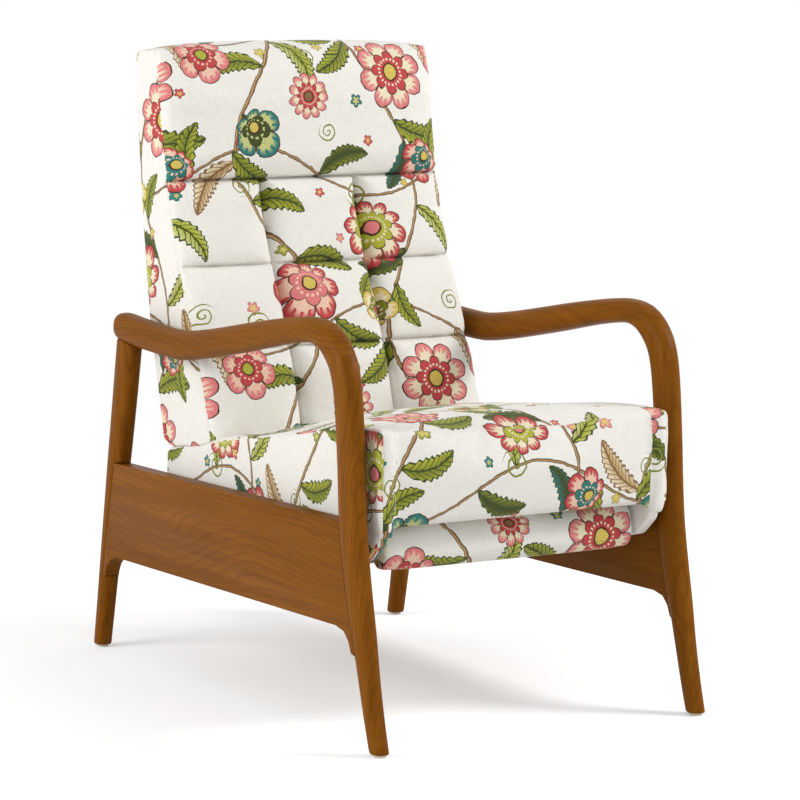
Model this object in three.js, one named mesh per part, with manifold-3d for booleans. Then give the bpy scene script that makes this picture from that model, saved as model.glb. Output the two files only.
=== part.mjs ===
// A high-leg push-back recliner: a sculpted wooden frame on each side, an upholstered seat that
// slides forward between them, a reclining back, and a padded footrest that unfolds on links.
// Millimetres. X runs across the chair, the front faces -Y, Z is up, the floor is Z = 0.
import * as THREE from 'three';
import { mergeVertices } from 'three/addons/utils/BufferGeometryUtils.js';
import Module from 'manifold-3d';

const wasm = await Module();
wasm.setup();

// Driving dimensions
const seatWidth = 538; // over the two upholstered cheeks
const seatHeight = 492; // crest of the seat's front edge
const seatLength = 700; // front of the seat box to its rear end
const seatForward = 55; // how far the seat's middle lies ahead of the frame's middle
const armRise = 160; // arm's highest point above the seat's crest
const backHeight = 660; // back's foot to its crest
const footSpan = 946; // front feet to rear feet, outside
const legThickness = 36; // across the chair
const legDepth = 54; // front to back, at the thickest
const footDiameter = 29;
const armWidth = 44;
const armDepth = 50;
const panelThickness = 27;

// Small sizes that several pieces share
const fit = 0.3; // gap between touching pieces
const sideClearance = 11; // cheek to the inside of a leg
const cheekThickness = 29.4;
const boxingThickness = 12;
const plateThickness = 3; // steel side plates
const linkThickness = 4;
const railThickness = 22; // seat frame timber
const railDepth = seatHeight * 0.1;
const glideHeight = 4;
const overrun = 40; // how far a cutter runs past what it cuts

// Worked-out places
const reach = (footSpan - footDiameter) / 2;
const seatFront = -seatForward - seatLength / 2;
const seatRear = seatFront + seatLength;
const armHeight = seatHeight + armRise;
const legInside = seatWidth / 2 + sideClearance;
const legMiddle = legInside + legThickness / 2;
const cheekInside = seatWidth / 2 - cheekThickness;
const plateOuter = cheekInside - fit;
const plateInner = plateOuter - plateThickness;

const chair = new THREE.Group();
const finish = (color, roughness, metalness) => new THREE.MeshStandardMaterial(
  { color, roughness, metalness });
const walnut = finish(0x7c4f26, 0.42, 0);
const beech = finish(0xc6a273, 0.6, 0);
const linen = finish(0xe6e2d8, 0.9, 0);
const steel = finish(0x55585c, 0.4, 0.9);
const nylon = finish(0xdedbd0, 0.5, 0);
const webbing = finish(0x3c3a36, 0.9, 0);

function add(name, geometry, material) {
  const mesh = new THREE.Mesh(geometry, material);
  mesh.name = name;
  chair.add(mesh);
}

// Reflects a geometry to the other side of the chair and turns its faces out again.
function reflected(geometry) {
  const copy = geometry.index ? geometry.toNonIndexed() : geometry.clone();
  const place = copy.getAttribute('position');
  for (let i = 0; i < place.count; i += 3) {
    const corners = [0, 2, 1].map((k) => new THREE.Vector3().fromBufferAttribute(place, i + k));
    corners.forEach((corner, k) => place.setXYZ(i + k, -corner.x, corner.y, corner.z));
  }
  return new THREE.BufferGeometry().setAttribute('position', place);
}

// Adds a piece on the chair's -X side and its reflection on the other.
function addPair(name, geometry, material) {
  add(`${name}_left`, geometry, material);
  add(`${name}_right`, reflected(geometry), material);
}

function toSolid(geometry) {
  const bare = new THREE.BufferGeometry().setAttribute('position', geometry.getAttribute('position'));
  if (geometry.index) bare.setIndex(geometry.index);
  const merged = mergeVertices(bare, 1e-3);
  const vertProperties = new Float32Array(merged.getAttribute('position').array);
  const triVerts = new Uint32Array(merged.index.array);
  return new wasm.Manifold(new wasm.Mesh({ numProp: 3, vertProperties, triVerts }));
}

function fromSolid(solid) {
  const mesh = solid.getMesh();
  const geometry = new THREE.BufferGeometry();
  geometry.setAttribute('position', new THREE.BufferAttribute(mesh.vertProperties, 3));
  geometry.setIndex(new THREE.BufferAttribute(mesh.triVerts, 1));
  return geometry;
}

const toPoint = ([y, z]) => new THREE.Vector2(y, z);

// A board: an outline of [y, z] points, or a Shape, carried along X from one side to the other.
function board(outline, fromX, toX) {
  const shape = outline instanceof THREE.Shape ? outline : new THREE.Shape(outline.map(toPoint));
  const geometry = new THREE.ExtrudeGeometry(
    shape, { depth: toX - fromX, bevelEnabled: false, curveSegments: 8 });
  const turn = new THREE.Matrix4().makeBasis(
    new THREE.Vector3(0, 1, 0), new THREE.Vector3(0, 0, 1), new THREE.Vector3(1, 0, 0));
  return geometry.applyMatrix4(turn).translate(fromX, 0, 0);
}

const block = (x0, x1, y0, y1, z0, z1) => new THREE.BoxGeometry(x1 - x0, y1 - y0, z1 - z0)
  .translate((x0 + x1) / 2, (y0 + y1) / 2, (z0 + z1) / 2);

// A round bar along X between two places.
const bar = (x0, x1, [y, z], radius, sides = 24) => new THREE.CylinderGeometry(radius, radius, x1 - x0, sides)
  .rotateZ(-Math.PI / 2).translate((x0 + x1) / 2, y, z);

// Joins rings of points, each as many, into one closed skin with flat ends.
function skin(rings) {
  const count = rings[0].length;
  const positions = rings.flat().flatMap((point) => point.toArray());
  const faces = [];
  for (let r = 0; r < rings.length - 1; r += 1) {
    for (let k = 0; k < count; k += 1) {
      const [a, b] = [r * count + k, r * count + ((k + 1) % count)];
      faces.push(a, b, b + count, a, b + count, a + count);
    }
  }
  for (const [ring, flip] of [[0, true], [rings.length - 1, false]]) {
    const middle = positions.length / 3;
    const centre = new THREE.Vector3();
    rings[ring].forEach((point) => centre.addScaledVector(point, 1 / count));
    positions.push(...centre.toArray());
    for (let k = 0; k < count; k += 1) {
      const [a, b] = [ring * count + k, ring * count + ((k + 1) % count)];
      faces.push(...(flip ? [b, a, middle] : [a, b, middle]));
    }
  }
  const geometry = new THREE.BufferGeometry();
  geometry.setAttribute('position', new THREE.Float32BufferAttribute(positions, 3));
  return geometry.setIndex(faces);
}

// A timber limb with a rounded section, lofted along stations of [y, z, half depth, half width].
function limb(stations, middleX, grow = 0) {
  const spine = new THREE.CatmullRomCurve3(stations.map(([y, z]) => new THREE.Vector3(0, y, z)));
  const girth = new THREE.CatmullRomCurve3(
    stations.map(([, , deep, wide]) => new THREE.Vector3(deep, wide, 0)));
  const [steps, sides, squareness] = [(stations.length - 1) * 2, 20, 2.5];
  const rings = [];
  for (let i = 0; i <= steps; i += 1) {
    const [centre, along] = [spine.getPoint(i / steps), spine.getTangent(i / steps)];
    const half = girth.getPoint(i / steps);
    const out = new THREE.Vector3(0, along.z, -along.y);
    rings.push(Array.from({ length: sides }, (_, k) => {
      const angle = (k / sides) * 2 * Math.PI;
      const bow = (value) => Math.sign(value) * Math.abs(value) ** (2 / squareness);
      return centre.clone().addScaledVector(out, bow(Math.sin(angle)) * (half.x + grow))
        .add(new THREE.Vector3(middleX + bow(Math.cos(angle)) * (half.y + grow), 0, 0));
    }));
  }
  return toSolid(skin(rings));
}

// Moves each point of a closed outline outwards along the normal there.
function grown(outline, distance) {
  return outline.map(([y, z], i) => {
    const [before, after] = [outline.at(i - 1), outline[(i + 1) % outline.length]];
    const along = new THREE.Vector2(after[0] - before[0], after[1] - before[1]).normalize();
    return [y + along.y * distance, z - along.x * distance];
  });
}

// A padded board: its outline drawn in towards both sides, and its middle swollen by the crown.
function padded(outline, fromX, toX, roundness, crown = 0, stations = 9) {
  const rings = Array.from({ length: stations }, (_, i) => {
    const angle = (i / (stations - 1)) * Math.PI;
    const across = (1 - Math.cos(angle)) / 2;
    const drawn = roundness * (1 - Math.sin(angle) ** 0.45);
    return grown(outline, crown * Math.sin(angle) - drawn)
      .map(([y, z]) => new THREE.Vector3(fromX + (toX - fromX) * across, y, z));
  });
  return skin(rings);
}

// The wooden side frame. Places are shares: along the reach of the feet, and up to the seat line
// (lower part) or from the seat line to the top of the arm (upper part).
const seatLine = seatHeight * 0.711;
const lower = ([alongShare, upShare, deepShare, wideShare]) => [
  alongShare * reach, upShare * seatLine, (deepShare * legDepth) / 2,
  (wideShare * legThickness) / 2];
const upper = ([alongShare, upShare, deepShare, wideShare]) => [
  alongShare * reach, seatLine + upShare * (armHeight - seatLine), (deepShare * armDepth) / 2,
  (wideShare * armWidth) / 2];
const footShare = footDiameter / legDepth;
const footWideShare = footDiameter / legThickness;

const armShares = [
  [0.853, 0.715, 0.52, 0.58], [0.849, 0.715, 0.76, 0.78], [0.836, 0.715, 0.9, 0.92],
  [0.811, 0.715, 0.97, 0.97], [0.763, 0.708, 1, 1], [0.654, 0.697, 1, 1], [0.488, 0.687, 0.98, 1],
  [0.375, 0.687, 0.98, 1], [0.24, 0.715, 0.96, 1],
  [0.068, 0.763, 0.94, 1], [-0.144, 0.828, 0.92, 1], [-0.345, 0.889, 0.84, 1], [-0.497, 0.925, 0.81, 1],
  [-0.571, 0.93, 0.81, 0.99], [-0.637, 0.91, 0.89, 0.97], [-0.693, 0.858, 0.97, 0.94],
  [-0.735, 0.785, 1.01, 0.91], [-0.759, 0.695, 1.03, 0.88], [-0.772, 0.596, 1.05, 0.85],
  [-0.785, 0.444, 1.06, 0.83], [-0.798, 0.232, 1.07, 0.82]];
const frontLegShares = [
  [-0.81, 1, 1, 1], [-0.826, 0.857, 0.94, 1], [-0.864, 0.64, 0.85, 0.99], [-0.895, 0.494, 0.75, 0.95],
  [-0.928, 0.32, 0.62, 0.89], [-0.963, 0.152, 0.57, 0.84], [-1, 0, footShare, footWideShare],
  [-1.026, -0.1, footShare, footWideShare]];
const rearLegShares = [
  [1.01, -0.06, footShare, footWideShare], [1, 0, footShare, footWideShare], [0.949, 0.374, 0.6, 0.9],
  [0.897, 0.749, 0.73, 0.98], [0.87, 0.943, 0.82, 1]];
const rearLegTopShares = [[0.818, 0.374, 1.04, 0.82], [0.79, 0.63, 1.09, 0.82], [0.775, 0.74, 1.1, 0.82]];
const seamShare = 0.84; // height of the seam between arm and front leg, above the seat line

const bowStations = [...armShares.map(upper), ...frontLegShares.map(lower)];
const rearStations = [...rearLegShares.map(lower), ...rearLegTopShares.map(upper)];
const seamHeight = seatLine + seamShare * (armHeight - seatLine);
const armFront = -0.571 * reach; // where the arm begins to turn down
const bow = limb(bowStations, -legMiddle);
const legSide = [-legMiddle - legThickness - overrun, -legMiddle + legThickness + overrun];
const underSeam = toSolid(block(...legSide, -reach - overrun, armFront, glideHeight + fit, seamHeight));
const belowSeam = toSolid(block(...legSide, -reach - overrun * 2, armFront, -overrun * 2, seamHeight + fit));
const aboveFloor = toSolid(block(...legSide, 0, reach + overrun, glideHeight + fit, armHeight));
const frontLeg = bow.intersect(underSeam);

// The side panel, a board between the legs: a tail let into the rear leg, a coped front end.
const panelSetBack = 2; // panel's outer face behind the legs'
const panelOuter = -legMiddle - legThickness / 2 + panelSetBack;
const panelInner = panelOuter + panelThickness;
const rearLegFront = (upShare) => {
  const stations = rearStations.slice(0, rearLegShares.length + 1);
  const height = upShare * seatLine;
  const i = stations.findIndex((station) => station[1] >= height);
  const [a, b] = [stations[i - 1], stations[i]];
  const t = (height - a[1]) / (b[1] - a[1]);
  return { middle: a[0] + (b[0] - a[0]) * t, deep: a[2] + (b[2] - a[2]) * t, height };
};
const inRearLeg = (upShare, depthShare) => {
  const { middle, deep, height } = rearLegFront(upShare);
  return [middle - deep * depthShare, height];
};
const panelTail = [0.374, 0.56, 0.749, 0.946].map((upShare) => inRearLeg(upShare, 0.5));
const tailShares = [[0.374, 1.03], [0.4, 1.06], [0.434, 1.3], [0.465, 1.85], [0.485, 2.9]];
const tailFillet = tailShares.map(([upShare, depthShare]) => inRearLeg(upShare, depthShare));
const panelFrontShares = [[-0.8, 1], [-0.832, 0.86], [-0.852, 0.64], [-0.878, 0.494], [-0.892, 0.42]];
const panelBelowShares = [[-0.862, 0.43], [-0.845, 0.48], [-0.815, 0.517], [-0.762, 0.531]];
const framePoint = ([alongShare, upShare]) => [alongShare * reach, upShare * seatLine];
const panelOutline = [
  ...panelTail, ...panelFrontShares.map(framePoint), ...panelBelowShares.map(framePoint),
  ...tailFillet.toReversed()];
const panelRaw = toSolid(board(panelOutline, panelOuter, panelInner));
const rearNotch = toSolid(board(grown(panelOutline, fit * 2.6), panelOuter - overrun, panelInner + fit));
const panel = panelRaw.subtract(limb(bowStations, -legMiddle, fit));
const largest = (solid) => solid.decompose().sort((a, b) => b.volume() - a.volume())[0];
const rearLeg = limb(rearStations, -legMiddle).intersect(aboveFloor).subtract(rearNotch)
  .subtract(limb(bowStations, -legMiddle, fit));

addPair('arm', fromSolid(largest(bow.subtract(belowSeam))), walnut);
addPair('front_leg', fromSolid(largest(frontLeg)), walnut);
addPair('rear_leg', fromSolid(largest(rearLeg)), walnut);
addPair('side_panel', fromSolid(largest(panel)), walnut);

const glide = (along) => new THREE
  .CylinderGeometry(footDiameter * 0.38, footDiameter * 0.34, glideHeight, 24)
  .rotateX(Math.PI / 2).translate(-legMiddle, along, glideHeight / 2);
addPair('front_glide', glide(-reach), nylon);
addPair('rear_glide', glide(reach), nylon);

// Frame stretchers, let in between the two side panels
const stretcherHeight = 22;
const stretcherWidth = 60;
const frontStretcherHeight = seatLine * 0.613; // its underside
const frontStretcherAlong = -0.15 * reach;
const rearStretcherHeight = seatLine * 0.53;
const rearStretcherAlong = 0.68 * reach;
const betweenPanels = -panelInner - fit;
add('front_stretcher', block(
  -betweenPanels, betweenPanels, frontStretcherAlong, frontStretcherAlong + stretcherWidth,
  frontStretcherHeight, frontStretcherHeight + stretcherHeight), beech);
add('rear_stretcher', block(
  -betweenPanels, betweenPanels, rearStretcherAlong, rearStretcherAlong + stretcherHeight,
  rearStretcherHeight, rearStretcherHeight + stretcherWidth), beech);

// The seat. Places are shares along the seat's length from its front, and up its height.
const seatPoint = ([alongShare, upShare]) => [
  seatFront + alongShare * seatLength, upShare * seatHeight];
const frameTop = (y) => seatHeight * (0.797 - 0.187 * ((y - seatFront) / seatLength - 0.093));
const bandDepth = 62; // thickness of padding ahead of the front rail
const frontRailAt = seatFront + bandDepth + fit;
const sideRailFront = frontRailAt + railThickness + fit;
const railSetIn = 9; // rear rail ahead of the seat's end
const rearRailDrop = 12; // rear rail below the side rails
const cushionSetBack = 40; // cushion's end ahead of the rear rail
const rearRailAt = seatRear - railThickness - railSetIn;
const cushionRear = rearRailAt - cushionSetBack;
const bandBottom = 0.701; // share of the seat height

const sideRail = [
  [sideRailFront, frameTop(sideRailFront)], [sideRailFront, frameTop(sideRailFront) - railDepth],
  [rearRailAt - fit, frameTop(rearRailAt) - railDepth], [rearRailAt - fit, frameTop(rearRailAt)]];
const railOuter = plateInner - fit;
addPair('seat_side_rail', board(sideRail, -railOuter, -railOuter + railThickness), beech);
add('seat_front_rail', block(-railOuter, railOuter, frontRailAt, frontRailAt + railThickness,
  frameTop(frontRailAt) - railDepth, frameTop(frontRailAt + railThickness)), beech);
add('seat_rear_rail', block(-railOuter, railOuter, rearRailAt, rearRailAt + railThickness,
  frameTop(rearRailAt) - railDepth - rearRailDrop, frameTop(rearRailAt)), beech);

// Sinuous springs between the front and rear rails, just under the cushion
const springWire = 4;
const springSwing = 22;
const springCount = 4;
const springWaves = 6;
const springFrom = sideRailFront + springWire * 0.42;
const springTo = rearRailAt - springWire * 0.5;
const wireSides = 5;
const wireSection = new THREE.Shape(Array.from({ length: wireSides }, (_, k) => {
  const angle = (k * 2 * Math.PI) / wireSides;
  return new THREE.Vector2((Math.cos(angle) * springWire) / 2, (Math.sin(angle) * springWire) / 2);
}));
for (let spring = 0; spring < springCount; spring += 1) {
  const x = ((spring + 0.5) / springCount - 0.5) * 2 * (railOuter - railThickness);
  const points = Array.from({ length: springWaves * 6 + 1 }, (_, i) => {
    const y = springFrom + ((springTo - springFrom) * i) / (springWaves * 6);
    return new THREE.Vector3(x + springSwing * Math.sin((i * Math.PI) / 3), y, frameTop(y) - springWire);
  });
  const extrudePath = new THREE.CatmullRomCurve3(points);
  const wire = { steps: springWaves * 7, extrudePath, bevelEnabled: false };
  add(`seat_spring_${spring + 1}`, new THREE.ExtrudeGeometry(wireSection, wire), steel);
}

const cheekShares = [
  [0.999, 0.732], [0.99, 0.748], [0.96, 0.757], [0.89, 0.784], [0.811, 0.813], [0.7, 0.847], [0.564, 0.883],
  [0.44, 0.917], [0.34, 0.94], [0.201, 0.968], [0.093, 0.988], [0.036, 0.986], [0.01, 0.957],
  [0.001, 0.896], [0, 0.705], [0.021, 0.628], [0.067, 0.569], [0.144, 0.541],
  [0.291, 0.502], [0.72, 0.484], [0.985, 0.482], [1, 0.51]];
const cheekRound = 7;
addPair('seat_cheek', padded(cheekShares.map(seatPoint), -seatWidth / 2, -cheekInside, cheekRound), linen);

const seatTopShares = [
  [0.86, 0.775], [0.76, 0.808], [0.64, 0.85], [0.5, 0.905], [0.35, 0.955], [0.23, 0.985], [0.13, 1],
  [0.075, 1], [0.04, 0.985], [0.02, 0.95], [0.008, 0.88], [0.006, 0.8], [0.012, 0.72], [0.03, bandBottom]];
const cushionHalf = cheekInside - fit * 2;
const seatOutline = [
  ...seatTopShares.map(seatPoint), [frontRailAt - fit, bandBottom * seatHeight],
  [frontRailAt - fit, frameTop(frontRailAt) + fit],
  [cushionRear, frameTop(cushionRear) + fit], [cushionRear, seatHeight * 0.76]];

// Swells an outline's upper points into a crown across the chair, and draws its ends in.
function crowned(outline, half, crown, drawn, shareAt, stations = 13) {
  const rings = Array.from({ length: stations }, (_, i) => {
    const across = -Math.cos((i / (stations - 1)) * Math.PI);
    const rise = crown * (1 - Math.abs(across) ** 2.6) - drawn * Math.abs(across) ** 14;
    return outline.map(([y, z]) => {
      const { dy, dz } = shareAt(y, z);
      return new THREE.Vector3(across * half, y + dy * rise, z + dz * rise);
    });
  });
  return skin(rings);
}
const seatSwell = (y, z) => {
  const along = (y - seatFront) / seatLength;
  const top = z > frameTop(y) + seatHeight * 0.05 && along > 0.03 ? Math.max(0, 1 - (along / 0.8) ** 4) : 0;
  const front = along < 0.03 && z > bandBottom * seatHeight + fit;
  return { dy: front ? -0.5 : 0, dz: along < 0.07 ? top * 0.6 : top };
};
const seatCrown = 9;
const seatDrawnIn = 8; // at the two ends
add('seat_cushion', crowned(seatOutline, cushionHalf, seatCrown, seatDrawnIn, seatSwell), linen);

// The slide: a steel channel on each side panel, and two nylon shoes on the outside of each cheek
const channelWall = 2;
const channelHeight = 32;
const channelLip = 1; // channel's flanges past the legs' inner faces
const channelReach = sideClearance + channelLip;
const channelFoot = seatLine * 0.81;
const channelOuter = panelInner + fit;
const slideTravel = reach * 0.218;
const shoeLength = reach * 0.109;
const shoeAlong = reach * 0.26;
const channelEnd = 10; // channel left beyond a shoe at each end of the travel
const seatMiddle = seatFront + seatLength / 2;
const channelFrom = seatMiddle - shoeAlong - shoeLength / 2 - slideTravel - channelEnd;
const channelTo = seatMiddle + shoeAlong + shoeLength / 2 + channelEnd;
const channelSection = new THREE.Shape([
  [0, 0], [channelReach, 0], [channelReach, channelWall], [channelWall, channelWall],
  [channelWall, channelHeight - channelWall], [channelReach, channelHeight - channelWall],
  [channelReach, channelHeight], [0, channelHeight]].map(([x, z]) => new THREE.Vector2(x, z)));
const channelLength = channelTo - channelFrom;
const channel = new THREE.ExtrudeGeometry(channelSection, { depth: channelLength, bevelEnabled: false })
  .rotateX(Math.PI / 2).translate(channelOuter, channelTo, channelFoot);
addPair('slide_channel', channel, steel);
const shoe = (middle) => block(
  channelOuter + channelWall + fit, -seatWidth / 2 - fit, middle - shoeLength / 2, middle + shoeLength / 2,
  channelFoot + channelWall + fit, channelFoot + channelHeight - channelWall - fit);
addPair('front_slide_shoe', shoe(seatMiddle - shoeAlong), nylon);
addPair('rear_slide_shoe', shoe(seatMiddle + shoeAlong), nylon);

// Pivots: the back's at the rear of the side plate, the footrest's at its front
const backPivot = seatPoint([0.986, 0.705]);
const drivePivot = seatPoint([0.171, 0.553]);
const elbow = seatPoint([0.4, 0.508]);
const footPivot = seatPoint([0.147, 0.61]);
const pinRadius = 4;
const hingePinRadius = 5;
const eyeRadius = 11;
const innerEyeRadius = 10;
const backEye = 14;

function circleHole([y, z], radius) {
  const hole = new THREE.Path();
  hole.absarc(y, z, radius, 0, Math.PI * 2, true);
  return hole;
}

// A flat steel bar with round ends about two pivots, and a hole at each that is asked for.
function link(from, to, radius, holes) {
  const angle = Math.atan2(to[1] - from[1], to[0] - from[0]);
  const shape = new THREE.Shape();
  shape.absarc(to[0], to[1], radius, angle - Math.PI / 2, angle + Math.PI / 2, false);
  shape.absarc(from[0], from[1], radius, angle + Math.PI / 2, angle + Math.PI * 1.5, false);
  shape.closePath();
  holes.forEach((hole) => shape.holes.push(circleHole(hole, pinRadius + fit)));
  return shape;
}

const plateFoot = (y) => frameTop(y) - railDepth - eyeRadius;
const plateKnee = seatPoint([0.27, 0])[0];
const plateHeel = seatPoint([0.9, 0])[0];
const plateShape = new THREE.Shape([
  [plateKnee, plateFoot(plateKnee)], [plateHeel, plateFoot(plateHeel)],
  [backPivot[0] + backEye, backPivot[1] - backEye], [backPivot[0] + backEye, backPivot[1]],
  [backPivot[0], backPivot[1] + backEye], [backPivot[0] - backEye * 2, backPivot[1]],
  [rearRailAt - backEye, frameTop(rearRailAt) - fit], [sideRailFront, frameTop(sideRailFront) - fit],
  [sideRailFront, drivePivot[1] + eyeRadius * 2], [drivePivot[0] - eyeRadius, drivePivot[1] - eyeRadius],
  [drivePivot[0] + eyeRadius, drivePivot[1] - eyeRadius]].map(toPoint));
plateShape.holes.push(
  circleHole(backPivot, hingePinRadius + fit), circleHole(drivePivot, pinRadius + fit));
const lighteningHole = railDepth * 0.32;
for (const alongShare of [0.36, 0.52, 0.68]) {
  const y = seatFront + alongShare * seatLength;
  plateShape.holes.push(circleHole([y, frameTop(y) - railDepth / 2], lighteningHole));
}
addPair('mechanism_plate', board(plateShape, -plateOuter, -plateInner), steel);

// The footrest links lie one inside the other under the seat frame.
const driveOuter = plateInner - fit;
const extensionOuter = driveOuter - linkThickness - fit;
const bracketOuter = extensionOuter - linkThickness - fit;
const tubeRadius = 7;
const pinned = (solid, outer, pivot, reachBack) => fromSolid(
  solid.add(toSolid(bar(-outer - reachBack, -outer + linkThickness / 2, pivot, pinRadius))));
const flatLink = (shape, outer) => toSolid(board(shape, -outer, -outer + linkThickness));
addPair('drive_link', pinned(
  flatLink(link(drivePivot, elbow, eyeRadius, [elbow]), driveOuter), driveOuter, drivePivot,
  plateThickness + fit), steel);
addPair('extension_link', pinned(
  flatLink(link(elbow, footPivot, innerEyeRadius, [footPivot]), extensionOuter), extensionOuter, elbow,
  linkThickness + fit), steel);
const tubeHalf = driveOuter - linkThickness - fit;
add('torque_tube', bar(-tubeHalf, tubeHalf, drivePivot, tubeRadius), steel);

// The folded footrest: a padded board that hangs under the front band, leaning back at its foot
const padTop = seatPoint([0.04, 0.692]);
const padFoot = seatPoint([0.083, 0.535]);
const boardThickness = 12;
const padThickness = seatHeight * 0.085;
const padSide = 4; // clearance to each cheek
const padRound = 6;
const lean = new THREE.Vector2(padTop[0] - padFoot[0], padTop[1] - padFoot[1]);
const inward = new THREE.Vector2(lean.y, -lean.x).normalize();
const padPoint = ([alongShare, depth]) => [
  padFoot[0] + lean.x * alongShare + inward.x * depth, padFoot[1] + lean.y * alongShare + inward.y * depth];
const padShares = [
  [0.08, 1], [0.8, 1], [0.86, 0.72], [0.93, 0.3], [0.88, 0.06], [0.7, -0.06], [0.5, -0.1], [0.3, -0.06],
  [0.1, 0.06], [0, 0.3], [0, 0.72]];
const padOutline = padShares.map(
  ([alongShare, deepShare]) => padPoint([alongShare, deepShare * padThickness]));
const padHalf = cheekInside - padSide;
const padStations = 15;
add('footrest_pad', padded(padOutline, -padHalf, padHalf, padRound, 0, padStations), linen);
const boardFront = padThickness + fit;
const boardRear = boardFront + boardThickness;
const boardOutline = [
  [0.08, boardFront], [0.08, boardRear], [0.7, boardRear], [0.7, boardFront]].map(padPoint);
const boardHalf = bracketOuter - linkThickness - fit;
add('footrest_board', board(boardOutline, -boardHalf, boardHalf), beech);

// Each bracket is a gusset on the board's end, from the pad's back to its link's pivot.
const bracketFoot = [[0.2, boardFront], [0.66, boardFront]].map(padPoint);
const bracketEye = toSolid(bar(-bracketOuter, -bracketOuter + linkThickness, footPivot, eyeRadius));
const bracketCorners = bracketFoot.flatMap(
  ([y, z]) => [-bracketOuter, -bracketOuter + linkThickness].map((x) => toSolid(
    new THREE.BoxGeometry(fit, fit, fit).translate(x, y + fit, z))));
const padSpace = [[-1, 0], [-1, boardFront], [2, boardFront], [2, 0]].map(padPoint);
const bracketLimit = toSolid(board(padSpace, -bracketOuter - overrun, -bracketOuter + overrun));
const bracket = wasm.Manifold.hull([bracketEye, ...bracketCorners]).subtract(bracketLimit);
addPair('footrest_bracket', pinned(bracket, bracketOuter, footPivot, linkThickness + fit), steel);

// The back. Places are shares of its height: out from the seat's rear end, and up from its foot.
const backFoot = seatHeight * 0.785;
const backPoint = ([outShare, upShare]) => [
  seatRear + outShare * backHeight, backFoot + upShare * backHeight];
const rearLineShares = [
  [0.004, -0.02], [0.005, 0], [0.083, 0.296], [0.115, 0.491], [0.15, 0.767], [0.166, 0.95], [0.17, 1.02]];
const frontLineShares = [
  [-0.21, 0], [-0.196, 0.044], [-0.121, 0.242], [-0.057, 0.44], [0.004, 0.62], [0.02, 0.66],
  [0.054, 0.977], [0.057, 1.02]];

// How far back a line of shares lies at a height.
function lineAt(shares, height) {
  const upShare = (height - backFoot) / backHeight;
  const i = Math.max(1, shares.findIndex(([, up]) => up >= upShare));
  const [[outA, upA], [outB, upB]] = [shares[i - 1], shares[i]];
  return seatRear + backHeight * (outA + ((outB - outA) * (upShare - upA)) / (upB - upA));
}
const rearAt = (height) => lineAt(rearLineShares, height);
const frontAt = (height) => lineAt(frontLineShares, height);

// A strip of the back's side view between two depths ahead of its rear line.
function backStrip(fromHeight, toHeight, nearDepth, farDepth, steps = 18) {
  const heights = Array.from(
    { length: steps + 1 }, (_, i) => fromHeight + ((toHeight - fromHeight) * i) / steps);
  return [
    ...heights.map((z) => [rearAt(z) - nearDepth, z]),
    ...heights.toReversed().map((z) => [rearAt(z) - farDepth, z])];
}
const outerPanelDepth = 6.5;
const postDepth = 30;
const postFront = outerPanelDepth + fit + postDepth;
const boxingInside = seatWidth / 2 - boxingThickness - fit;
const postInside = plateInner;
const postFoot = backFoot + backHeight * 0.012;
const postTop = backFoot + backHeight * 0.93;
const postRear = outerPanelDepth + fit;
addPair('back_post', board(
  backStrip(postFoot, postTop, postRear, postFront), -boxingInside, -postInside), beech);
const railHeight = 46;
const railRelief = 2; // rails inside the posts' faces
const backRail = (foot, half) => board(
  backStrip(foot, foot + railHeight, postRear + railRelief, postFront - railRelief, 2), -half, half);
const hingeThickness = 4;
const underPosts = postInside - fit;
const lowerRailFoot = backFoot + backHeight * 0.035;
const middleRailFoot = backFoot + backHeight * 0.615;
const upperRailDrop = 4; // below the posts' tops
const upperRailFoot = postTop - railHeight - upperRailDrop;
add('back_lower_rail', backRail(lowerRailFoot, underPosts - hingeThickness - fit), beech);
add('back_middle_rail', backRail(middleRailFoot, underPosts), beech);
add('back_upper_rail', backRail(upperRailFoot, underPosts), beech);

// Elastic webbing between the lower and middle rails, behind the channelled cushion
const webCount = 3;
const webWidth = 60;
const webThickness = 2;
const webDepth = (outerPanelDepth + postFront) / 2;
const webStrip = backStrip(
  lowerRailFoot + railHeight + fit, middleRailFoot - fit, webDepth, webDepth + webThickness, 6);
for (let web = 0; web < webCount; web += 1) {
  const x = ((web + 0.5) / webCount - 0.5) * 2 * underPosts;
  add(`back_web_${web + 1}`, board(webStrip, x - webWidth / 2, x + webWidth / 2), webbing);
}
const outerPanel = backStrip(postFoot + fit * 4, backFoot + backHeight * 0.965, 0, outerPanelDepth);
add('back_outer_panel', board(outerPanel, -boxingInside, boxingInside), linen);

// The boxed sides of the back
const boxingShares = [
  [0.004, -0.002], [-0.046, -0.018], [-0.12, 0.004], [-0.19, 0.026], [-0.196, 0.048], [-0.121, 0.242],
  [-0.057, 0.44], [0.002, 0.62], [0.018, 0.66], [0.053, 0.955], [0.072, 0.982], [0.15, 0.978],
  [0.164, 0.955], [0.15, 0.767], [0.115, 0.491], [0.083, 0.296]];
const boxingRound = 4;
const boxingStations = 7;
const boxingOutline = boxingShares.map(backPoint).toReversed();
addPair('back_boxing', padded(
  boxingOutline, -seatWidth / 2, -boxingInside - fit, boxingRound, 0, boxingStations), linen);

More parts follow.
